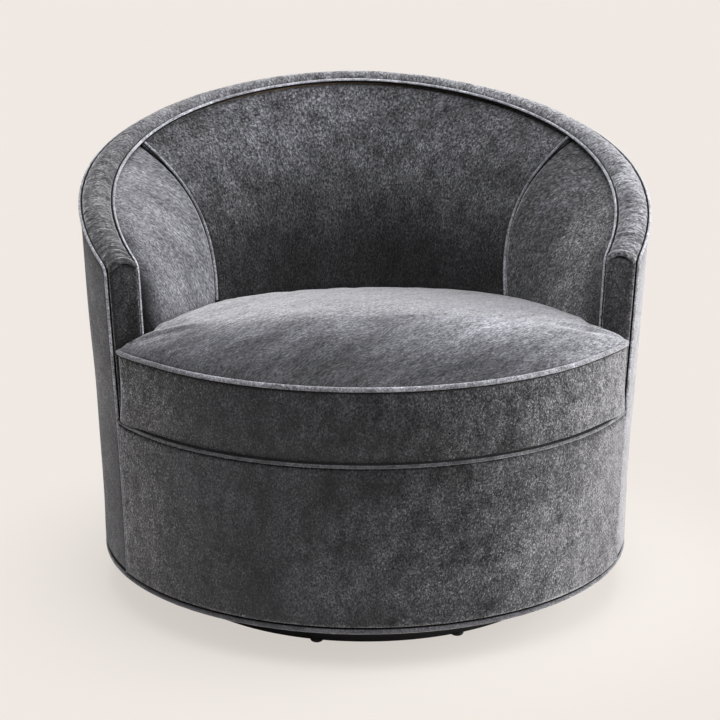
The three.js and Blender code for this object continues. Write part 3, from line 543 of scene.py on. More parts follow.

# %% [markdown]
# ## Inside back and inside arms
#
# The inside is three panels of cloth over thick foam. Two bowed seams part the back from the arms.
# Each panel is painted lighter or darker in places, painted light and painted shade: the top of the
# back is painted lighter, and the pile beside the arm fronts is painted darker.

# %% Inside panels
TOP_WADDING, TOP_WADDING_REACH = 0.009, 0.12
# Painted light and shade: the back's velvet is painted nearly black and many times lighter towards the
# rail, where light falls from above; the arms are painted darker beside their fronts, the right one also
# low down, and each panel's shade and sheen are set to its light.
INSIDE_VELVET = {
    "back": {"shade": 0.15, "sheen": 0.475, "contrast": 0.85, "painted_light_ramps": [("Y", 0.28, 0.46, 11.0)]},
    "arm_right": {"shade": 0.7, "sheen": 0.95, "contrast": 0.8, "lay": 42, "brushed": (1.7, 0.8, 1.0),
                  "painted_light_ramps": [("Y", 0.12, 0.30, 1.9), ("X", 0.12, 0.26, 0.4)],
                  "combed": ("X", 0.14, 0.27, (0.0, -0.6, 0.0))},
    "arm_left": {"shade": 0.62, "sheen": 1.0, "contrast": 0.6, "lay": -48, "brushed": (1.9, 0.7, 1.0),
                 "painted_light_ramps": [("X", 0.04, 0.16, 4.8)], "combed": ("X", 0.16, 0.05, (-1.1, -0.6, 0.0))},
}
INSIDE_COLUMNS = {"back": 150, "arm_right": 70, "arm_left": 70}
INSIDE_ROLL, INSIDE_THICKNESS = 0.006, 0.010
SEAM_HALF_WIDTH = 0.0012
SEAM_HALF = math.degrees(SEAM_HALF_WIDTH / WELL_RADIUS)


def inside(from_edge, to_edge):
    """The wall between two edges that may bow, from the deck up to the rail's piping."""
    def at(u, v):
        share = lerp(-1.0, 1.0, v)
        return wall_point(lerp(from_edge(share), to_edge(share), 1 - u), share)
    return at


def inside_relief(face, seed):
    """Slow lumps, and wadding that curves back towards the rail."""
    lumps = surface_relief(face, size=0.12, height=0.0018, seed=seed)

    def relief(u, v, edge):
        from_rail = (face(u, 1) - face(u, v)).length
        bent = max(1 - from_rail / TOP_WADDING_REACH, 0) ** 2
        return lumps(u, v, edge) - TOP_WADDING * bent
    return relief


inside_faces = {
    "back": inside(lambda s: seam_angle(s) + SEAM_HALF, lambda s: FULL_TURN - seam_angle(s) - SEAM_HALF),
    "arm_right": inside(lambda s: ARM_ANGLE, lambda s: seam_angle(s) - SEAM_HALF),
    "arm_left": inside(lambda s: FULL_TURN - seam_angle(s) + SEAM_HALF, lambda s: FULL_TURN - ARM_ANGLE),
}
for number, (part_name, face) in enumerate(inside_faces.items()):
    pile = velvet("velvet_inside_" + part_name, offset=11.3 + 2.9 * number, **INSIDE_VELVET[part_name])
    pad = panel("inside_" + part_name, face, columns=INSIDE_COLUMNS[part_name], rows=90, roll=INSIDE_ROLL,
                thickness=INSIDE_THICKNESS, relief=inside_relief(face, seed=9.0 + number), material=pile)
    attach(pad, "chair")
    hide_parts("inside_back_pad" if part_name == "back" else "inside_arm_pad_" + part_name[4:])

# %% [markdown]
# ## Rail
#
# A strip of velvet over wadding runs along the top of the barrel. It reaches over the front board of
# each arm. Where it bends tightest, towards the arms, its pile and wadding crumple into soft wavy
# ridges that lie across it.

# %% Rail cover
ARM_BOARD, ARM_ARCH = 0.012, 0.005
RAIL_LIP, ARM_CIRCLE = 0.0015, 0.430
RAIL_OVERHANG = math.degrees((ARM_BOARD + RAIL_LIP) / ARM_CIRCLE)
RAIL_ROUNDNESS, RAIL_ROLL, RAIL_CLOTH = 2.1, 0.007, 0.006
CRUMPLE_HEIGHT, CRUMPLE_LENGTH, FINE_LENGTH, FINE_SHARE = 0.0021, 0.011, 0.0045, 0.35
CRUMPLE_ANGLES, CALM_SHARE = (ARM_ANGLE + 20, 128.0), 0.10
WAVE_LENGTH, WAVE_SHARE = 0.03, 0.35
RAIL_LUMP_LENGTH, RAIL_LUMP_HEIGHT = 0.06, 0.0008


def rail_way(u):
    """The angle that a share of the rail's length has turned, with its overhang at both ends."""
    return lerp(FULL_TURN - ARM_ANGLE + RAIL_OVERHANG, ARM_ANGLE - RAIL_OVERHANG, u)


def rail_face(u, v):
    turned = rail_way(u)
    angle = min(max(turned, ARM_ANGLE), FULL_TURN - ARM_ANGLE)
    ahead = math.radians(angle - turned) * rail_outside(angle)
    radius = rail_outside(angle) - RAIL_WIDTH * (1 - v)
    rise = (RAIL_EDGE_DROP + RAIL_CROWN) * (1 - abs(2 * v - 1) ** RAIL_ROUNDNESS)
    return beside_plane(angle, radius, ahead, rail_joint(angle) + rise)


def rail_crumples(u, v, edge):
    """Ridges across the rail, wavy and uneven, that die away towards the back.

    Each noise takes a place along the rail, a place across it and a number of its own.
    """
    angle = rail_way(u)
    way = math.radians(angle) * rail_outside(angle)
    wave = WAVE_SHARE * (noise.noise(Vector((way / WAVE_LENGTH, v * 1.2, 5.0))) + math.sin(math.pi * v))
    ridges = noise.noise(Vector((way / CRUMPLE_LENGTH + wave * 2, v * 1.1, 3.0)))
    fine = noise.noise(Vector((way / FINE_LENGTH + wave * 4, v * 2.6, 7.0)))
    strength = lerp(1.0, CALM_SHARE, ease(min(angle, FULL_TURN - angle), *CRUMPLE_ANGLES))
    lumps = RAIL_LUMP_HEIGHT * noise.noise(Vector((way / RAIL_LUMP_LENGTH, v, 2.0)))
    crumples = CRUMPLE_HEIGHT * (ridges + FINE_SHARE * fine) * strength
    return (crumples + lumps) * ease(edge, 0, RAIL_ROLL)


# Painted shade: the rail is painted darker towards its left end, where less light falls, and its shade and
# sheen are set to the light it gets.
rail_velvet = velvet("velvet_rail", shade=0.7, sheen=0.82, offset=21.0, contrast=0.8,
                     brushed=(1.0, 2.2, 1.0), painted_light_ramps=[("X", 0.0, 0.6, 3.5)])
rail_cover = panel("rail_cover", rail_face, columns=800, rows=24, relief=rail_crumples, roll=RAIL_ROLL,
                   thickness=RAIL_CLOTH, material=rail_velvet)
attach(rail_cover, "chair")
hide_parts("rail_band")

# %% [markdown]
# ## Arm fronts
#
# A narrow upholstered board closes the front of each arm. Its arched top tucks in under the rail.

# %% Arm fronts
ARM_TOP_TUCK, ARM_ROLL = 0.003, 0.005
ARM_FOOT_GAP, WELT_PROUD = 0.0015, 0.0005
ARM_FOOT = DECK + ARM_FOOT_GAP
ARM_WELT_ROOM = WELT_RADIUS - WELT_PROUD + GAP
# Painted light and shade: both arm fronts are one velvet, the left painted far darker than the right, for
# the light that comes from the right.
ARM_FRONT_SHADE = {"right": 1.2, "left": 0.25}


def arm_face(side):
    def at(u, v):
        z = lerp(ARM_FOOT, ARM_TOP - RAIL_EDGE_DROP - ARM_TOP_TUCK, v)
        share = (z - CUSHION_SEAM) / (rail_joint(ARM_ANGLE) - CUSHION_SEAM)
        inner = wall_radius(ARM_ANGLE, share) + ARM_WELT_ROOM
        outer = outer_radius(z) - ARM_WELT_ROOM
        across = u if side > 0 else 1 - u
        z += ARM_ARCH * math.sin(math.pi * across) * v
        point = beside_plane(ARM_ANGLE, lerp(inner, outer, across), ARM_BOARD + GAP, z)
        return Vector((side * point.x, point.y, point.z))
    return at


for side, side_name in ((1, "right"), (-1, "left")):
    face = arm_face(side)
    pile = velvet("velvet_arm_front_" + side_name, shade=ARM_FRONT_SHADE[side_name], sheen=0.66,
                  offset=31.0 + side)
    front = panel("arm_front_cover_" + side_name, face, columns=26, rows=70, roll=ARM_ROLL, material=pile,
                  relief=surface_relief(face, size=0.05, height=0.0008, seed=30.0 + side))
    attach(front, "chair")
    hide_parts("arm_front_" + side_name)

# %% [markdown]
# ## Piping
#
# Piping is a cord in a sleeve of the same velvet. A curve with a round bevel is the natural tool: it
# needs only the seam's route. The route is evened out and its corners are softened, since a covered
# cord never turns sharply, and the sleeve is a little thicker here and thinner there. Under the cord
# lies the sleeve's flange, sewn into the seam. It is always in the shade, and its velvet is painted
# nearly black, a painted shade, which draws the dark line beside the cord. The cords' velvet is
# painted much paler than the panels', a painted highlight.

# %% Piping helper
PIPING_STEP = 0.006
SOFTENING_PASSES = 4
CORD_SHARE, FLANGE_SHARE, FLANGE_DEPTH = 0.86, 1.24, 0.0018
UNEVENNESS, UNEVEN_STEP = 0.05, 0.35
# How many pieces each seam is cut into before its route is evened out
UPRIGHT_PIECES, RAIL_PIECES, BACK_SEAM_PIECES, DRUM_PIECES, BOTTOM_PIECES = 12, 120, 40, 90, 120


def even_route(points, step, closed, softening):
    """The same route with points at equal distances, its corners softened."""
    chain = points + points[:1] if closed else points
    lengths = [0.0]
    for a, b in zip(chain, chain[1:]):
        lengths.append(lengths[-1] + (b - a).length)
    count = max(int(lengths[-1] / step), 4)
    route, i = [], 0
    for k in range(count if closed else count + 1):
        want = lengths[-1] * k / count
        while i < len(lengths) - 2 and lengths[i + 1] < want:
            i += 1
        route.append(chain[i].lerp(chain[i + 1], (want - lengths[i]) / (lengths[i + 1] - lengths[i])))
    for _ in range(softening):
        route = [
            p if not closed and k in (0, len(route) - 1)
            else (route[k - 1] + 2 * p + route[(k + 1) % len(route)]) / 4
            for k, p in enumerate(route)
        ]
    return route


def piping(name, seam, radius, material, closed=False, softening=SOFTENING_PASSES, cord=CORD_SHARE,
           flange=FLANGE_SHARE, seed=0.0):
    """Piping along a seam, which is a list of points, each with the direction that it faces."""
    curve = bpy.data.curves.new(name, "CURVE")
    curve.dimensions, curve.bevel_depth, curve.bevel_resolution = "3D", radius, 3
    curve.use_fill_caps = not closed
    curve.materials.append(material)
    curve.materials.append(flange_painted_shade)
    for number, (depth, share) in enumerate(((0.0, cord), (FLANGE_DEPTH, flange))):
        route = even_route([p - facing * depth for p, facing in seam], PIPING_STEP, closed, softening)
        spline = curve.splines.new("POLY")
        spline.points.add(len(route) - 1)
        spline.use_cyclic_u, spline.material_index = closed, number
        for k, (target, point) in enumerate(zip(spline.points, route)):
            target.co = (*point, 1.0)
            target.radius = share * (1.0 + UNEVENNESS * noise.noise(Vector((k * UNEVEN_STEP, seed, 0))))
    made = bpy.data.objects.new(name, curve)
    bpy.context.scene.collection.objects.link(made)
    places = [p for p, facing in seam + seam[:1] * closed]
    print(f"{name}: {sum((b - a).length for a, b in zip(places, places[1:])):.2f} m long")
    return made


def mirror_x(points):
    return [Vector((-p.x, p.y, p.z)) for p in points]


def mirror_seam(seam):
    return list(zip(*(mirror_x(side) for side in zip(*seam))))


def between(first, second):
    """The direction half-way between two faces, which the piping on their seam points in."""
    return (first + second).normalized()


UP = Vector((0, 0, 1))
# Painted light and shade: the cords' velvet is painted much paler than the panels', a painted highlight,
# and the flange's velvet nearly black, a painted shade.
rail_piping_velvet = velvet("velvet_rail_piping", shade=7.0, sheen=1.0, offset=42.0, contrast=0.6,
                            on="Object")
piping_velvet = velvet("velvet_piping", shade=4.5, sheen=0.85, offset=41.0, contrast=0.6, on="Object")
flange_painted_shade = velvet("velvet_flange_painted_shade", shade=0.12, sheen=0.05, offset=47.0, contrast=0.5, on="Object")

# %% Piping of the rail


def rail_piping_route(radius_at, foot, proud):
    """Up an arm's front edge, along the rail and down the other arm. Proud is how far it stands out."""
    side = math.copysign(1, proud)
    ahead = beside_plane(ARM_ANGLE, 0, 1, 0)
    upright = [(beside_plane(ARM_ANGLE, radius_at(ARM_ANGLE, z) + proud, WELT_RADIUS + GAP, z),
                between(polar(ARM_ANGLE, side, 0), ahead))
               for z in (lerp(foot, rail_joint(ARM_ANGLE), s) for s in shares(UPRIGHT_PIECES))]
    over = [(polar(a, radius_at(a, rail_joint(a)) + proud, rail_joint(a)), between(polar(a, side, 0), UP))
            for a in (lerp(ARM_ANGLE, FULL_TURN - ARM_ANGLE, s) for s in shares(RAIL_PIECES))]
    return upright + over + mirror_seam(upright)[::-1]


def inner_radius_at(angle, z):
    return wall_radius(angle, (z - CUSHION_SEAM) / (rail_joint(angle) - CUSHION_SEAM))


for piping_name, radius_at, foot, proud in (
    ("rail_outer", lambda a, z: outer_radius(z), SHELL_FOOT + WELT_RADIUS, WELT_PROUD),
    ("rail_inner", inner_radius_at, ARM_FOOT, -WELT_PROUD),
):
    made = piping(piping_name + "_piping", rail_piping_route(radius_at, foot, proud), WELT_RADIUS,
                  rail_piping_velvet, seed=foot * 100)
    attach(made, "chair")
    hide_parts(piping_name + "_welt")

# %% Piping of the back seams
SEAM_LEAN, SEAM_PROUD = 0.7, 0.25 * SEAM_WELT_RADIUS
SEAM_ENDS, STEP_UP, STEP_ASIDE = (0.02, 0.985), 0.01, 0.5


def seam_route():
    """Up the seam beside the inside back. The cord leans to the arm, so that the flange's painted dark line
    shows on the back's side.
    """
    route = []
    for s in (lerp(*SEAM_ENDS, t) for t in shares(BACK_SEAM_PIECES)):
        angle = seam_angle(s)
        rise = wall_point(angle, min(s + STEP_UP, 1)) - wall_point(angle, max(s - STEP_UP, 0))
        aside = wall_point(angle + STEP_ASIDE, s) - wall_point(angle - STEP_ASIDE, s)
        normal = rise.cross(aside).normalized()
        here = wall_point(angle, s)
        if normal.x * here.x + normal.y * here.y > 0:
            normal.negate()
        route.append((here + normal * SEAM_PROUD, normal - aside.normalized() * SEAM_LEAN))
    return route


for side_name, route in (("right", seam_route()), ("left", mirror_seam(seam_route()))):
    made = piping("back_seam_piping_" + side_name, route, SEAM_WELT_RADIUS, piping_velvet, cord=1.0,
                  flange=1.45, seed=3.0)
    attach(made, "chair")
    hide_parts("back_seam_welt_" + side_name)

# %% Piping of the drum and the bottom
BOTTOM_PIPING_CIRCLE, BOTTOM_PIPING_RADIUS, BOTTOM_DROP = 0.4153, 0.0038, 0.0012


def level_seam(angles, radius, z):
    """A seam round the drum at one height. Its piping faces down, so that the flange's dark line, a painted
    shade, is above.
    """
    return [(polar(angle, radius, z), between(polar(angle, 1, 0), -UP)) for angle in angles]


drum_line = level_seam([lerp(-APRON_ANGLE, APRON_ANGLE, s) for s in shares(DRUM_PIECES)],
                       APRON_FOOT_RADIUS + APRON_LEAN - WELT_RADIUS, APRON_TOP + GAP + WELT_RADIUS)
# Painted light: the drum's and the bottom's cords are painted paler than the apron, standing in for light
# on cords that sit in shade.
drum_velvet = velvet("velvet_drum_piping", shade=1.5, offset=45.0, contrast=0.6, on="Object")
drum_piping = piping("drum_top_piping", drum_line, WELT_RADIUS, drum_velvet, cord=1.1, seed=5.0)
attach(drum_piping, "chair")
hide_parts("drum_top_welt")

bottom_line = level_seam([FULL_TURN * s for s in shares(BOTTOM_PIECES)[:-1]], BOTTOM_PIPING_CIRCLE,
                         SHELL_FOOT - GAP - BOTTOM_PIPING_RADIUS - BOTTOM_DROP)
bottom_velvet = velvet("velvet_bottom_piping", shade=2.2, offset=43.0, contrast=0.5, on="Object")
bottom_piping = piping("bottom_piping", bottom_line, BOTTOM_PIPING_RADIUS, bottom_velvet, closed=True,
                       cord=1.25, flange=1.3, seed=6.0)
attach(bottom_piping, "chair")
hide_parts("bottom_welt")

# %% [markdown]
# ## Seat cushion
#
# The cushion is loose: a boxed core of foam in a velvet case. In plan it is a bow in front, an ear
# ahead of each arm and the round of the well behind. A grid is bent into the closed case: its
# columns go round the plan, and its rows run from the middle of the underside, up the boxing and in
# over the crown. Its edges are then welded. Beside the arms the case is stuffed fuller than in front,
# and at the back its seam lies lower, so that the crown hides the piping there.

# %% Cushion plan
CUSHION_RADIUS, CUSHION_CLEARANCE = 0.425, 0.001
EAR_FLARE, EAR_START = 0.007, 48.0
BOW_COLUMNS, EAR_COLUMNS, ROUND_COLUMNS = 132, 12, 120
CORNER_SOFTENING = 2


def cushion_plan(bow_offset=0.0, well_offset=0.0):
    """The cushion's outline at one height, each part set out or in by its own amount."""
    inset = CUSHION_CLEARANCE + CUSHION_WELT_RADIUS - well_offset
    round_radius = WELL_RADIUS - WELT_PROUD - WELT_RADIUS - inset
    ahead = GAP + ARM_BOARD + inset
    ear_tip = CUSHION_RADIUS + EAR_FLARE + min(bow_offset, 0)
    ear = beside_plane(ARM_ANGLE, math.sqrt(ear_tip**2 - ahead**2), ahead, 0)
    plane = polar(ARM_ANGLE, 1, 0)
    start = beside_plane(ARM_ANGLE, 0, ahead, 0) + Vector((0, WELL_CENTRE, 0))
    along = plane.dot(start)
    reach = -along + math.sqrt(along**2 - start.length_squared + round_radius**2)
    notch = beside_plane(ARM_ANGLE, reach, ahead, 0)
    ear_angle = math.degrees(math.atan2(ear.x, -ear.y))
    notch_angle = math.degrees(math.atan2(notch.x, -(notch.y + WELL_CENTRE)))
    bow = []
    for share in shares(BOW_COLUMNS):
        angle = lerp(-ear_angle, ear_angle, share)
        flare = ease(abs(angle), EAR_START, ear_angle)
        bow.append(polar(angle, lerp(CUSHION_RADIUS + bow_offset, ear_tip, flare), 0))
    ear_edge = [ear.lerp(notch, share) for share in shares(EAR_COLUMNS)[1:-1]]
    well = [polar(lerp(notch_angle, FULL_TURN - notch_angle, share), round_radius, 0)
            - Vector((0, WELL_CENTRE, 0)) for share in shares(ROUND_COLUMNS)]
    plan = bow + ear_edge + well + mirror_x(ear_edge)[::-1]
    for _ in range(CORNER_SOFTENING):
        plan = [(plan[k - 1] + 2 * p + plan[(k + 1) % len(plan)]) / 4 for k, p in enumerate(plan)]
    return plan


# %% Cushion crown
CROWN_HEIGHT, CROWN_POWER, CROWN_CAP = 0.0500, 1.7, 0.060
CROWN_MIDDLE = Vector((0, -0.215, 0))
CROWN_SIDE, CROWN_FRONT, CROWN_BACK = 0.448, 0.222, 0.381
EDGE_ROLL = 0.018
EAR_FULLNESS = {"left": 0.016, "right": 0.0096}
EAR_SPREAD, EAR_RISE = 0.066, 0.050
BACK_SEAM_DROP, BACK_SEAM_BEARINGS = 0.008, (92, 112)
BOXING_BULGE, BOXING_ROLL = 0.007, 0.006
seam_plan = cushion_plan()
NOTCH = seam_plan[BOW_COLUMNS + EAR_COLUMNS]
print("cushion plan:", len(seam_plan), "points, notch beside the arm at", tuple(round(c, 3) for c in NOTCH))


def seam_drop(point):
    """How much lower the seam lies at the back than in front."""
    bearing = math.degrees(math.atan2(abs(point.x), -(point.y + WELL_CENTRE)))
    return BACK_SEAM_DROP * ease(bearing, *BACK_SEAM_BEARINGS) * (1 if point.y > -WELL_CENTRE else 0)


def stuffing(point):
    """Height of the full case above its front seam: one broad crown, and a swell beside each arm."""
    behind = point.y - CROWN_MIDDLE.y
    away = math.hypot(point.x / CROWN_SIDE, behind / (CROWN_BACK if behind > 0 else CROWN_FRONT))
    crown = CROWN_HEIGHT * (1 - min(away, 1.0) ** CROWN_POWER)
    from_notch = math.hypot(abs(point.x) - NOTCH.x, point.y - NOTCH.y) / EAR_SPREAD
    from_bow = CUSHION_RADIUS - math.hypot(point.x, point.y)
    full = EAR_FULLNESS["left" if point.x < 0 else "right"]
    ear = full * math.exp(-from_notch**2) * min(max(from_bow / EAR_RISE, 0.0), 1.0)
    return crown + ear * (1 - crown / CROWN_CAP)


def crown_point(column, share):
    """The cushion's top. Share 1 is the seam and 0 the middle of the crown."""
    rim = seam_plan[column]
    inward = CROWN_MIDDLE - rim
    point = rim + inward * (1 - share)
    from_seam = min((1 - share) * inward.length / EDGE_ROLL, 1.0)
    drop = seam_drop(rim)
    point.z = CUSHION_SEAM - drop + (stuffing(point) + drop) * math.sin(math.pi / 2 * from_seam)
    return point


# %% Cushion case
BOXING_ROWS, BOXING_WAIST = 18, 0.5
# Where the rings of the underside and the crown lie between the middle, 0, and the seam, 1
UNDER_SHARES = [0.0, 0.3, 0.55, 0.75, 0.88, 0.96]
CROWN_SHARES = [0.995, 0.985, 0.97, 0.955, 0.935, 0.915, 0.89, 0.865, 0.835, 0.80, 0.765, 0.73,
                0.69, 0.65, 0.60, 0.55, 0.49, 0.43, 0.37, 0.30, 0.23, 0.16, 0.08, 0.0]
PUCKER_LENGTH, PUCKER_HEIGHT, PUCKER_REACH = 0.019, 0.0013, 0.034
PUCKER_WAVER, WAVER_LENGTH = 3.0, 0.04
PUCKER_ANGLES, LEAST_PUCKER = (32, 56), 0.15
CROWN_LUMP, CROWN_LUMP_WIDTH, CROWN_LUMP_DEPTH = 0.0016, 0.09, 0.13


def boxing_rows():
    """Rings of the boxing, from the lower to the upper seam, as height share and plan.

    The boxing bulges in front, and in the well it is drawn in by a share of that.
    """
    rows = []
    for share in shares(BOXING_ROWS):
        up = crowd(share)
        from_seam = min(up, 1 - up) * (CUSHION_SEAM - DECK)
        tuck = rolled(from_seam, BOXING_ROLL)
        bulge = BOXING_BULGE * math.sin(math.pi * up)
        rows.append((up, cushion_plan(bulge - tuck, -BOXING_WAIST * bulge - tuck)))
    return rows


def puckers(column, from_seam):
    """Small folds that run out of the front seam, strongest towards the ears."""
    if column > BOW_COLUMNS:
        return 0.0
    rim = seam_plan[column]
    angle = math.degrees(math.atan2(rim.x, -rim.y))
    way = math.radians(angle) * CUSHION_RADIUS
    waver = PUCKER_WAVER * noise.noise(Vector((way / WAVER_LENGTH, 3.0, 0)))
    fold = math.sin(2 * math.pi * way / PUCKER_LENGTH + waver)
    strength = lerp(LEAST_PUCKER, 1.0, ease(abs(angle), *PUCKER_ANGLES))
    return PUCKER_HEIGHT * fold * strength * math.exp(-from_seam / PUCKER_REACH)


def boxing_ring(up, plan):
    """One ring of the boxing, with the puckers that the top seam draws into it."""
    ring = []
    for column, (p, rim) in enumerate(zip(plan, seam_plan)):
        top = CUSHION_SEAM - seam_drop(rim)
        z = lerp(DECK + GAP, top, up)
        ring.append(Vector((p.x, p.y, z)) + rim.normalized() * puckers(column, top - z))
    return ring


def crown_ring(share):
    """One ring of the crown, with its puckers and the slow lumps of the stuffing."""
    ring = []
    for column, rim in enumerate(seam_plan):
        p = crown_point(column, share)
        p.z += puckers(column, (1 - share) * (CROWN_MIDDLE - rim).length)
        place = Vector((p.x / CROWN_LUMP_WIDTH, p.y / CROWN_LUMP_DEPTH, 1.0))
        p.z += CROWN_LUMP * noise.noise(place) * (1 - share)
        ring.append(p)
    return ring


def cushion_case():
    """The whole case, from the middle of the underside to the middle of the crown."""
    boxing, columns = boxing_rows(), len(seam_plan)
    under = [[CROWN_MIDDLE.lerp(p, share) + Vector((0, 0, DECK + GAP)) for p in boxing[0][1]]
             for share in UNDER_SHARES]
    rows = under + [boxing_ring(*row) for row in boxing] + [crown_ring(share) for share in CROWN_SHARES]
    mesh = bmesh.new()
    bmesh.ops.create_grid(mesh, x_segments=columns, y_segments=len(rows) - 1, size=0.5)
    for vert in mesh.verts:
        column = round((vert.co.x + 0.5) * columns) % columns
        row = round((vert.co.y + 0.5) * (len(rows) - 1))
        vert.co = rows[row][column]
    bmesh.ops.remove_doubles(mesh, verts=mesh.verts, dist=MERGE_DISTANCE)
    bmesh.ops.recalc_face_normals(mesh, faces=mesh.faces)
    for face in mesh.faces:
        middle = face.calc_center_median()
        face.material_index = 1 if middle.z < CUSHION_SEAM - seam_drop(middle) else 0
    return mesh


# Painted light and shade: the crown is painted lighter towards the right, where the light comes from, and
# darker at the front, and the boxing lighter on its right; the shade and sheen of both are set to their
# light.
crown_velvet = velvet("velvet_cushion_top", shade=2.6, sheen=1.0, offset=51.0, contrast=0.55, lay=40,
                      brushed=(2.6, 0.65, 1.0), on="Object",
                      painted_light_ramps=[("X", -0.10, 0.34, 2.1), ("Y", -0.26, -0.38, 0.55)],
                      combed=("Y", -0.16, -0.38, (0.0, -0.90, 0.0)))
boxing_velvet = velvet("velvet_boxing", shade=0.5, sheen=0.92, offset=57.0, brushed=BRUSHED_UPRIGHT,
                       on="Object", painted_light_ramps=[("X", 0.12, 0.42, 3.0)])
cushion = add_object("seat_cushion_cover", cushion_case(), crown_velvet)
cushion.data.materials.append(boxing_velvet)
print("cushion case:", len(cushion.data.vertices), "points")

# %% [markdown]
# ## Blowing up the cushion
#
# A short cloth simulation fills the case. Cloth under pressure finds the soft, slightly uneven form
# of real stuffing by itself. The seams and the underside are held still, and a cap keeps each point
# near its place. The middle of the crown, where the grid's columns meet, is smoothed afterwards.

# %% Cushion simulation
CUSHION_PRESSURE, CUSHION_FRAMES, CUSHION_CAP = 2.0, 16, 0.006
STRETCHING, SHEARING, BENDING = 25, 12, 3
SEAM_HOLD, RIM_HOLD = 0.004, 0.02
CALM_DISTANCE, CALM_PASSES = 0.11, 14


def apply_modifiers(obj):
    bpy.context.view_layer.update()
    evaluated = obj.evaluated_get(bpy.context.evaluated_depsgraph_get())
    data = bpy.data.meshes.new_from_object(evaluated)
    obj.modifiers.clear()
    old, obj.data = obj.data, data
    bpy.data.meshes.remove(old)


def blow_up(obj, pressure, frames, cap, held):
    """Swells a closed case with Cloth, and lets no point go further than the cap."""
    group = obj.vertex_groups.new(name="held")
    for vert in obj.data.vertices:
        if held(vert.co):
            group.add([vert.index], 1.0, "REPLACE")
    start = [vert.co.copy() for vert in obj.data.vertices]
    cloth = obj.modifiers.new("cloth", "CLOTH")
    cloth.settings.use_pressure = True
    cloth.settings.uniform_pressure_force = pressure
    cloth.settings.effector_weights.gravity = 0
    cloth.settings.vertex_group_mass = "held"
    cloth.settings.tension_stiffness = cloth.settings.compression_stiffness = STRETCHING
    cloth.settings.shear_stiffness, cloth.settings.bending_stiffness = SHEARING, BENDING
    cloth.point_cache.frame_start, cloth.point_cache.frame_end = 1, frames
    for step in range(1, frames + 1):
        bpy.context.scene.frame_set(step)
    apply_modifiers(obj)
    bpy.context.scene.frame_set(1)
    moved = 0.0
    for vert, was in zip(obj.data.vertices, start):
        shift = vert.co - was
        if shift.length > cap:
            shift *= cap / shift.length
        moved = max(moved, shift.length)
        vert.co = was + shift
    obj.vertex_groups.clear()
    print(f"{obj.name}: swelled by up to {1000 * moved:.1f} mm")


def cushion_held(point):
    """True on the two seams that ring the cushion and on its underside."""
    rim = min(seam_plan, key=lambda p: (p.x - point.x) ** 2 + (p.y - point.y) ** 2)
    top_seam = CUSHION_SEAM - seam_drop(rim)
    from_rim = math.hypot(rim.x - point.x, rim.y - point.y)
    return point.z < DECK + SEAM_HOLD or (abs(point.z - top_seam) < SEAM_HOLD and from_rim < RIM_HOLD)


def calm_middle(obj):
    """Smooths the middle of the crown, where the grid's columns run together."""
    mesh = bmesh.new()
    mesh.from_mesh(obj.data)
    for calm in range(CALM_PASSES):
        reach = CALM_DISTANCE * (1 - calm / CALM_PASSES)
        middle = [vert for vert in mesh.verts if vert.co.z > CUSHION_SEAM
                  and (vert.co.xy - CROWN_MIDDLE.xy).length < reach]
        bmesh.ops.smooth_vert(mesh, verts=middle, factor=0.5, use_axis_z=True)
    mesh.to_mesh(obj.data)
    mesh.free()


blow_up(cushion, CUSHION_PRESSURE, CUSHION_FRAMES, CUSHION_CAP, cushion_held)
calm_middle(cushion)
for polygon in cushion.data.polygons:
    polygon.use_smooth = True
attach(cushion, "cushion")
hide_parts("seat_cushion")

# %% Cushion piping
cushion_seam = [(Vector((p.x, p.y, CUSHION_SEAM - seam_drop(p))), between(p.normalized(), UP))
                for p in seam_plan]
cushion_piping = piping("cushion_piping", cushion_seam, CUSHION_WELT_RADIUS, piping_velvet, closed=True,
                        softening=1, cord=1.1, flange=1.3, seed=9.0)
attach(cushion_piping, "cushion")
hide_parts("cushion_welt")

# %% [markdown]
# ## Deck cloth
#
# Under the cushion the springs carry a felt pad with a plain dark cloth over it. It shows only when
# the cushion is lifted out. Its weave is a pattern in the material, since its threads are too fine to
# model. A line from the middle to the rim is spun into a disc, and each point is then pulled to the
# deck's own outline, with a little sag in the middle.

# %% Plain cloth
# At a scale of 1, Blender's wave texture runs through this many radians in a metre
WAVE_RADIANS = 20


def object_noise(tree, coords, scale, detail, **sockets):
    return node(tree, "TexNoise", Vector=coords, Scale=scale, Detail=detail, **sockets).outputs[0]


def layered(tree, base, pattern, share):
    """A base value with a share of a pattern on top of it."""
    return node(tree, "Math", {"operation": "MULTIPLY_ADD"}, i0=pattern, i1=share, i2=base).outputs[0]


def ramp(tree, pattern, dark, pale, start=0.0, end=1.0):
    """Runs from the dark colour to the pale one while a pattern rises from start to end."""
    made = node(tree, "ValToRGB", Fac=pattern)
    first, last = made.color_ramp.elements
    first.position, last.position = start, end
    first.color, last.color = (*dark, 1.0), (*pale, 1.0)
    return made.outputs[0]


def bumps(tree, pattern, strength, distance):
    return node(tree, "Bump", Height=pattern, Strength=strength, Distance=distance).outputs[0]


def toned(colour, times):
    return tuple(min(c * times, 1.0) for c in colour)


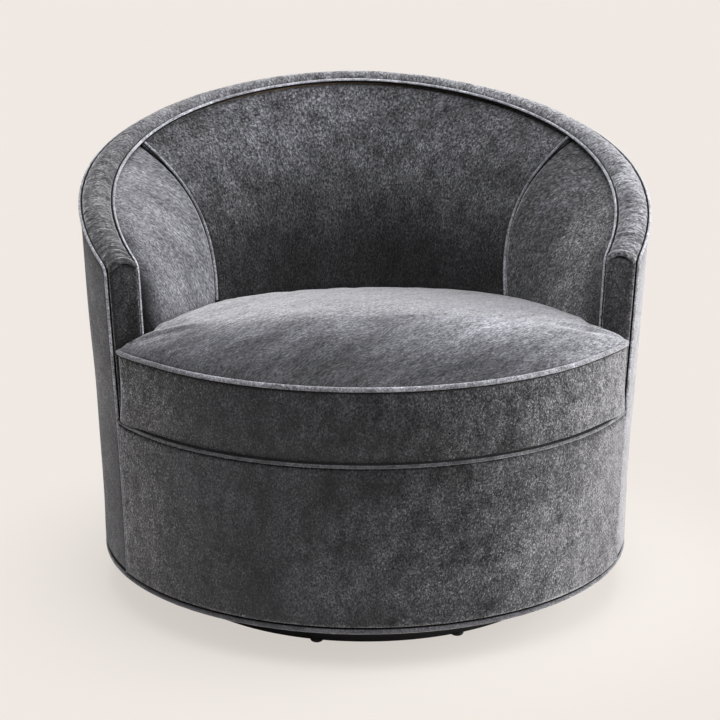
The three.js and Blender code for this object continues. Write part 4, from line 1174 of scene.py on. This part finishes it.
def plain_cloth(name, colour, thread=0.0012):
    """A plain weave: two sets of fine bands crossing, with uneven dye.

    Thread is the length in which the wave of a band turns by one radian.
    """
    material, tree, out = new_material(name)
    coords = node(tree, "TexCoord").outputs["Object"]
    warp, weft = (
        node(tree, "TexWave", {"wave_type": "BANDS", "bands_direction": axis}, Vector=coords,
             Scale=1 / (thread * WAVE_RADIANS), Distortion=0.8).outputs[1]
        for axis in "XY"
    )
    weave = total(tree, warp, weft, "MAXIMUM")
    tone = layered(tree, object_noise(tree, coords, 14.0, 5.0), weave, 0.35)
    surface(tree, out, Base_Color=ramp(tree, tone, toned(colour, 0.55), toned(colour, 1.35)),
            Roughness=0.95, Specular_IOR_Level=0.2, Normal=bumps(tree, weave, 0.4, 0.0004))
    return material


deck_weave = plain_cloth("deck_weave", (0.035, 0.035, 0.04))
print(deck_weave.name, "has", len(deck_weave.node_tree.nodes), "nodes")

# %% Deck cloth
DECK_RINGS, DECK_STEPS = 24, 360
DECK_RIM, DECK_CORNER, DECK_LAP = 0.421, 1.0, 0.004
DECK_SAG, DECK_DROP, DECK_CLOTH = 0.002, 0.0004, 0.006


def spun_mesh(profile, steps):
    """A line of (radius, height) spun once round the upright axis."""
    mesh = bmesh.new()
    verts = [mesh.verts.new(Vector((radius, 0, z))) for radius, z in profile]
    edges = [mesh.edges.new(pair) for pair in zip(verts, verts[1:])]
    bmesh.ops.spin(mesh, geom=verts + edges, cent=(0, 0, 0), axis=(0, 0, 1), angle=2 * math.pi,
                   steps=steps, use_merge=True)
    return mesh


def deck_edge(angle):
    """The deck's outline: the drum's bow in front, and behind it a lap under the inside wall."""
    if min(angle, FULL_TURN - angle) < ARM_ANGLE - DECK_CORNER:
        return DECK_RIM
    return min(well_edge(angle) + DECK_LAP, DECK_RIM)


mesh = spun_mesh([(DECK_RIM * s, 0) for s in shares(DECK_RINGS)[1:]], DECK_STEPS)
hub = [edge for edge in mesh.edges
       if edge.is_boundary and edge.verts[0].co.length < 2 * DECK_RIM / DECK_RINGS]
bmesh.ops.holes_fill(mesh, edges=hub, sides=0)
for vert in mesh.verts:
    share = vert.co.length / DECK_RIM
    angle = math.degrees(math.atan2(vert.co.x, -vert.co.y)) % FULL_TURN
    z = DECK - GAP - DECK_DROP - DECK_SAG * (1 - share**2)
    vert.co = polar(angle, deck_edge(angle) * share, z)
bmesh.ops.recalc_face_normals(mesh, faces=mesh.faces)
if sum(face.normal.z for face in mesh.faces) < 0:
    bmesh.ops.reverse_faces(mesh, faces=mesh.faces)
deck_cloth = add_object("deck_cloth", mesh, deck_weave)
print("deck cloth:", len(deck_cloth.data.polygons), "faces")
solid = deck_cloth.modifiers.new("thickness", "SOLIDIFY")
solid.thickness, solid.offset = DECK_CLOTH, -1
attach(deck_cloth, "chair")
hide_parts("deck_pad")

# %% [markdown]
# ## Base ring and glides
#
# The ring is a flat steel band with rounded edges, so a rounded profile is spun once round the axis.
# Each of the eight glides is a small domed foot, spun in the same way.

# %% Base ring
RING_LOW, RING_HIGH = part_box("base_ring")
RING_RADIUS, RING_WIDTH, RING_EDGE = 0.320, 0.020, 0.003
RING_STEPS, GLIDE_STEPS = 160, 28


def spun(name, profile, steps, material, centre=(0, 0)):
    """A closed object from a spun profile, moved to its centre on the floor."""
    mesh = spun_mesh(profile, steps)
    bmesh.ops.remove_doubles(mesh, verts=mesh.verts, dist=MERGE_DISTANCE)
    bmesh.ops.recalc_face_normals(mesh, faces=mesh.faces)
    bmesh.ops.translate(mesh, verts=mesh.verts, vec=Vector((*centre, 0)))
    return add_object(name, mesh, material)


def rounded_band(inner, outer, low, high, edge, steps=4):
    """The outline of a flat bar stood on edge, its four corners rounded, as radius and height."""
    outline = []
    for cx, cz, start in ((outer - edge, low + edge, -90), (outer - edge, high - edge, 0),
                          (inner + edge, high - edge, 90), (inner + edge, low + edge, 180)):
        for k in range(steps + 1):
            turn = math.radians(start + 90 * k / steps)
            outline.append((cx + edge * math.cos(turn), cz + edge * math.sin(turn)))
    return outline + outline[:1]


def powder_coat(name, colour, roughness=0.42):
    """Satin black paint: an even colour with a fine orange-peel skin and a little rubbing."""
    material, tree, out = new_material(name)
    coords = node(tree, "TexCoord").outputs["Object"]
    peel = object_noise(tree, coords, 900.0, 2.0)
    rubbed = object_noise(tree, coords, 16.0, 6.0, Roughness=0.7)
    surface(tree, out, Base_Color=ramp(tree, rubbed, colour, toned(colour, 1.7), 0.45, 0.80),
            Roughness=layered(tree, roughness - 0.12, rubbed, 0.25),
            Normal=bumps(tree, peel, 0.25, 0.0003))
    return material


black_steel = powder_coat("black_steel", (0.010, 0.010, 0.011))
band = rounded_band(RING_RADIUS - RING_WIDTH, RING_RADIUS, RING_LOW.z, RING_HIGH.z, RING_EDGE)
ring = spun("base_ring_band", band, RING_STEPS, black_steel)
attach(ring, "base")
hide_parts("base_ring")
print("ring from", round(RING_LOW.z, 4), "to", round(RING_HIGH.z, 4), "above the floor")

# %% Glides
GLIDES, GLIDE_HEIGHT, GLIDE_RADIUS = 8, 0.005, 0.010
GLIDE_PROFILE = [(0.0, 0.0), (0.0072, 0.0), (0.0090, 0.0012), (GLIDE_RADIUS, 0.0030),
                 (GLIDE_RADIUS, GLIDE_HEIGHT), (0.0, GLIDE_HEIGHT)]
nylon = powder_coat("nylon", (0.012, 0.012, 0.013), roughness=0.6)
for i in range(1, GLIDES + 1):
    low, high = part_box(f"glide_{i}")
    centre = (low + high) / 2
    glide = spun(f"glide_foot_{i}", GLIDE_PROFILE, GLIDE_STEPS, nylon, (centre.x, centre.y))
    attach(glide, "base")
    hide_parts(f"glide_{i}")
print(GLIDES, "glides of", GLIDE_HEIGHT, "height")

# %% [markdown]
# ## Frame finishes
#
# The boards, plates, screws and springs keep their shapes from the frame. They show from below, or
# when the cushion is lifted, and each gets a finish of its own: birch plywood with long grain, zinc
# plate with a faint brush, oiled spring wire and black dust cloth.

# %% Frame finishes


BIRCH_DARK, BIRCH_PALE = (0.42, 0.25, 0.13), (0.66, 0.46, 0.28)


def birch(name):
    """Birch plywood: long grain, a little raised."""
    material, tree, out = new_material(name)
    coords = node(tree, "TexCoord").outputs["Object"]
    stretched = node(tree, "Mapping", Vector=coords, Scale=(1.0, 0.08, 1.0)).outputs[0]
    grain = object_noise(tree, stretched, 90.0, 8.0, Roughness=0.7, Distortion=0.4)
    surface(tree, out, Base_Color=ramp(tree, grain, BIRCH_DARK, BIRCH_PALE, 0.35, 0.70), Roughness=0.6,
            Normal=bumps(tree, grain, 0.2, 0.0005))
    return material


def plated(name, colour, roughness):
    """Metal with fine brush lines in its gloss and faint stains in its colour."""
    material, tree, out = new_material(name)
    coords = node(tree, "TexCoord").outputs["Object"]
    brushed = node(tree, "Mapping", Vector=coords, Scale=(1.0, 0.03, 1.0)).outputs[0]
    lines = object_noise(tree, brushed, 700.0, 3.0)
    stain = object_noise(tree, coords, 40.0, 5.0)
    surface(tree, out, Base_Color=ramp(tree, stain, toned(colour, 0.75), toned(colour, 1.2)), Metallic=1.0,
            Roughness=layered(tree, roughness - 0.1, lines, 0.2))
    return material


FINISHES = {
    "plywood": birch("birch_plywood"),
    "zinc_steel": plated("zinc_plate", (0.62, 0.64, 0.66), 0.35),
    "spring_steel": plated("spring_wire", (0.30, 0.31, 0.33), 0.45),
    "cambric": plain_cloth("dust_cloth", (0.012, 0.012, 0.013), thread=0.0008),
    "black_steel": black_steel,
    "nylon": nylon,
}
slot_of = {entry["node"]: entry["material_slot"] for entry in frame["record"]["subparts"]}
for node_name, obj in frame["nodes"].items():
    finish = FINISHES.get(slot_of[node_name])
    if finish and obj.material_slots:
        obj.material_slots[0].material = finish
print("finishes:", ", ".join(FINISHES))
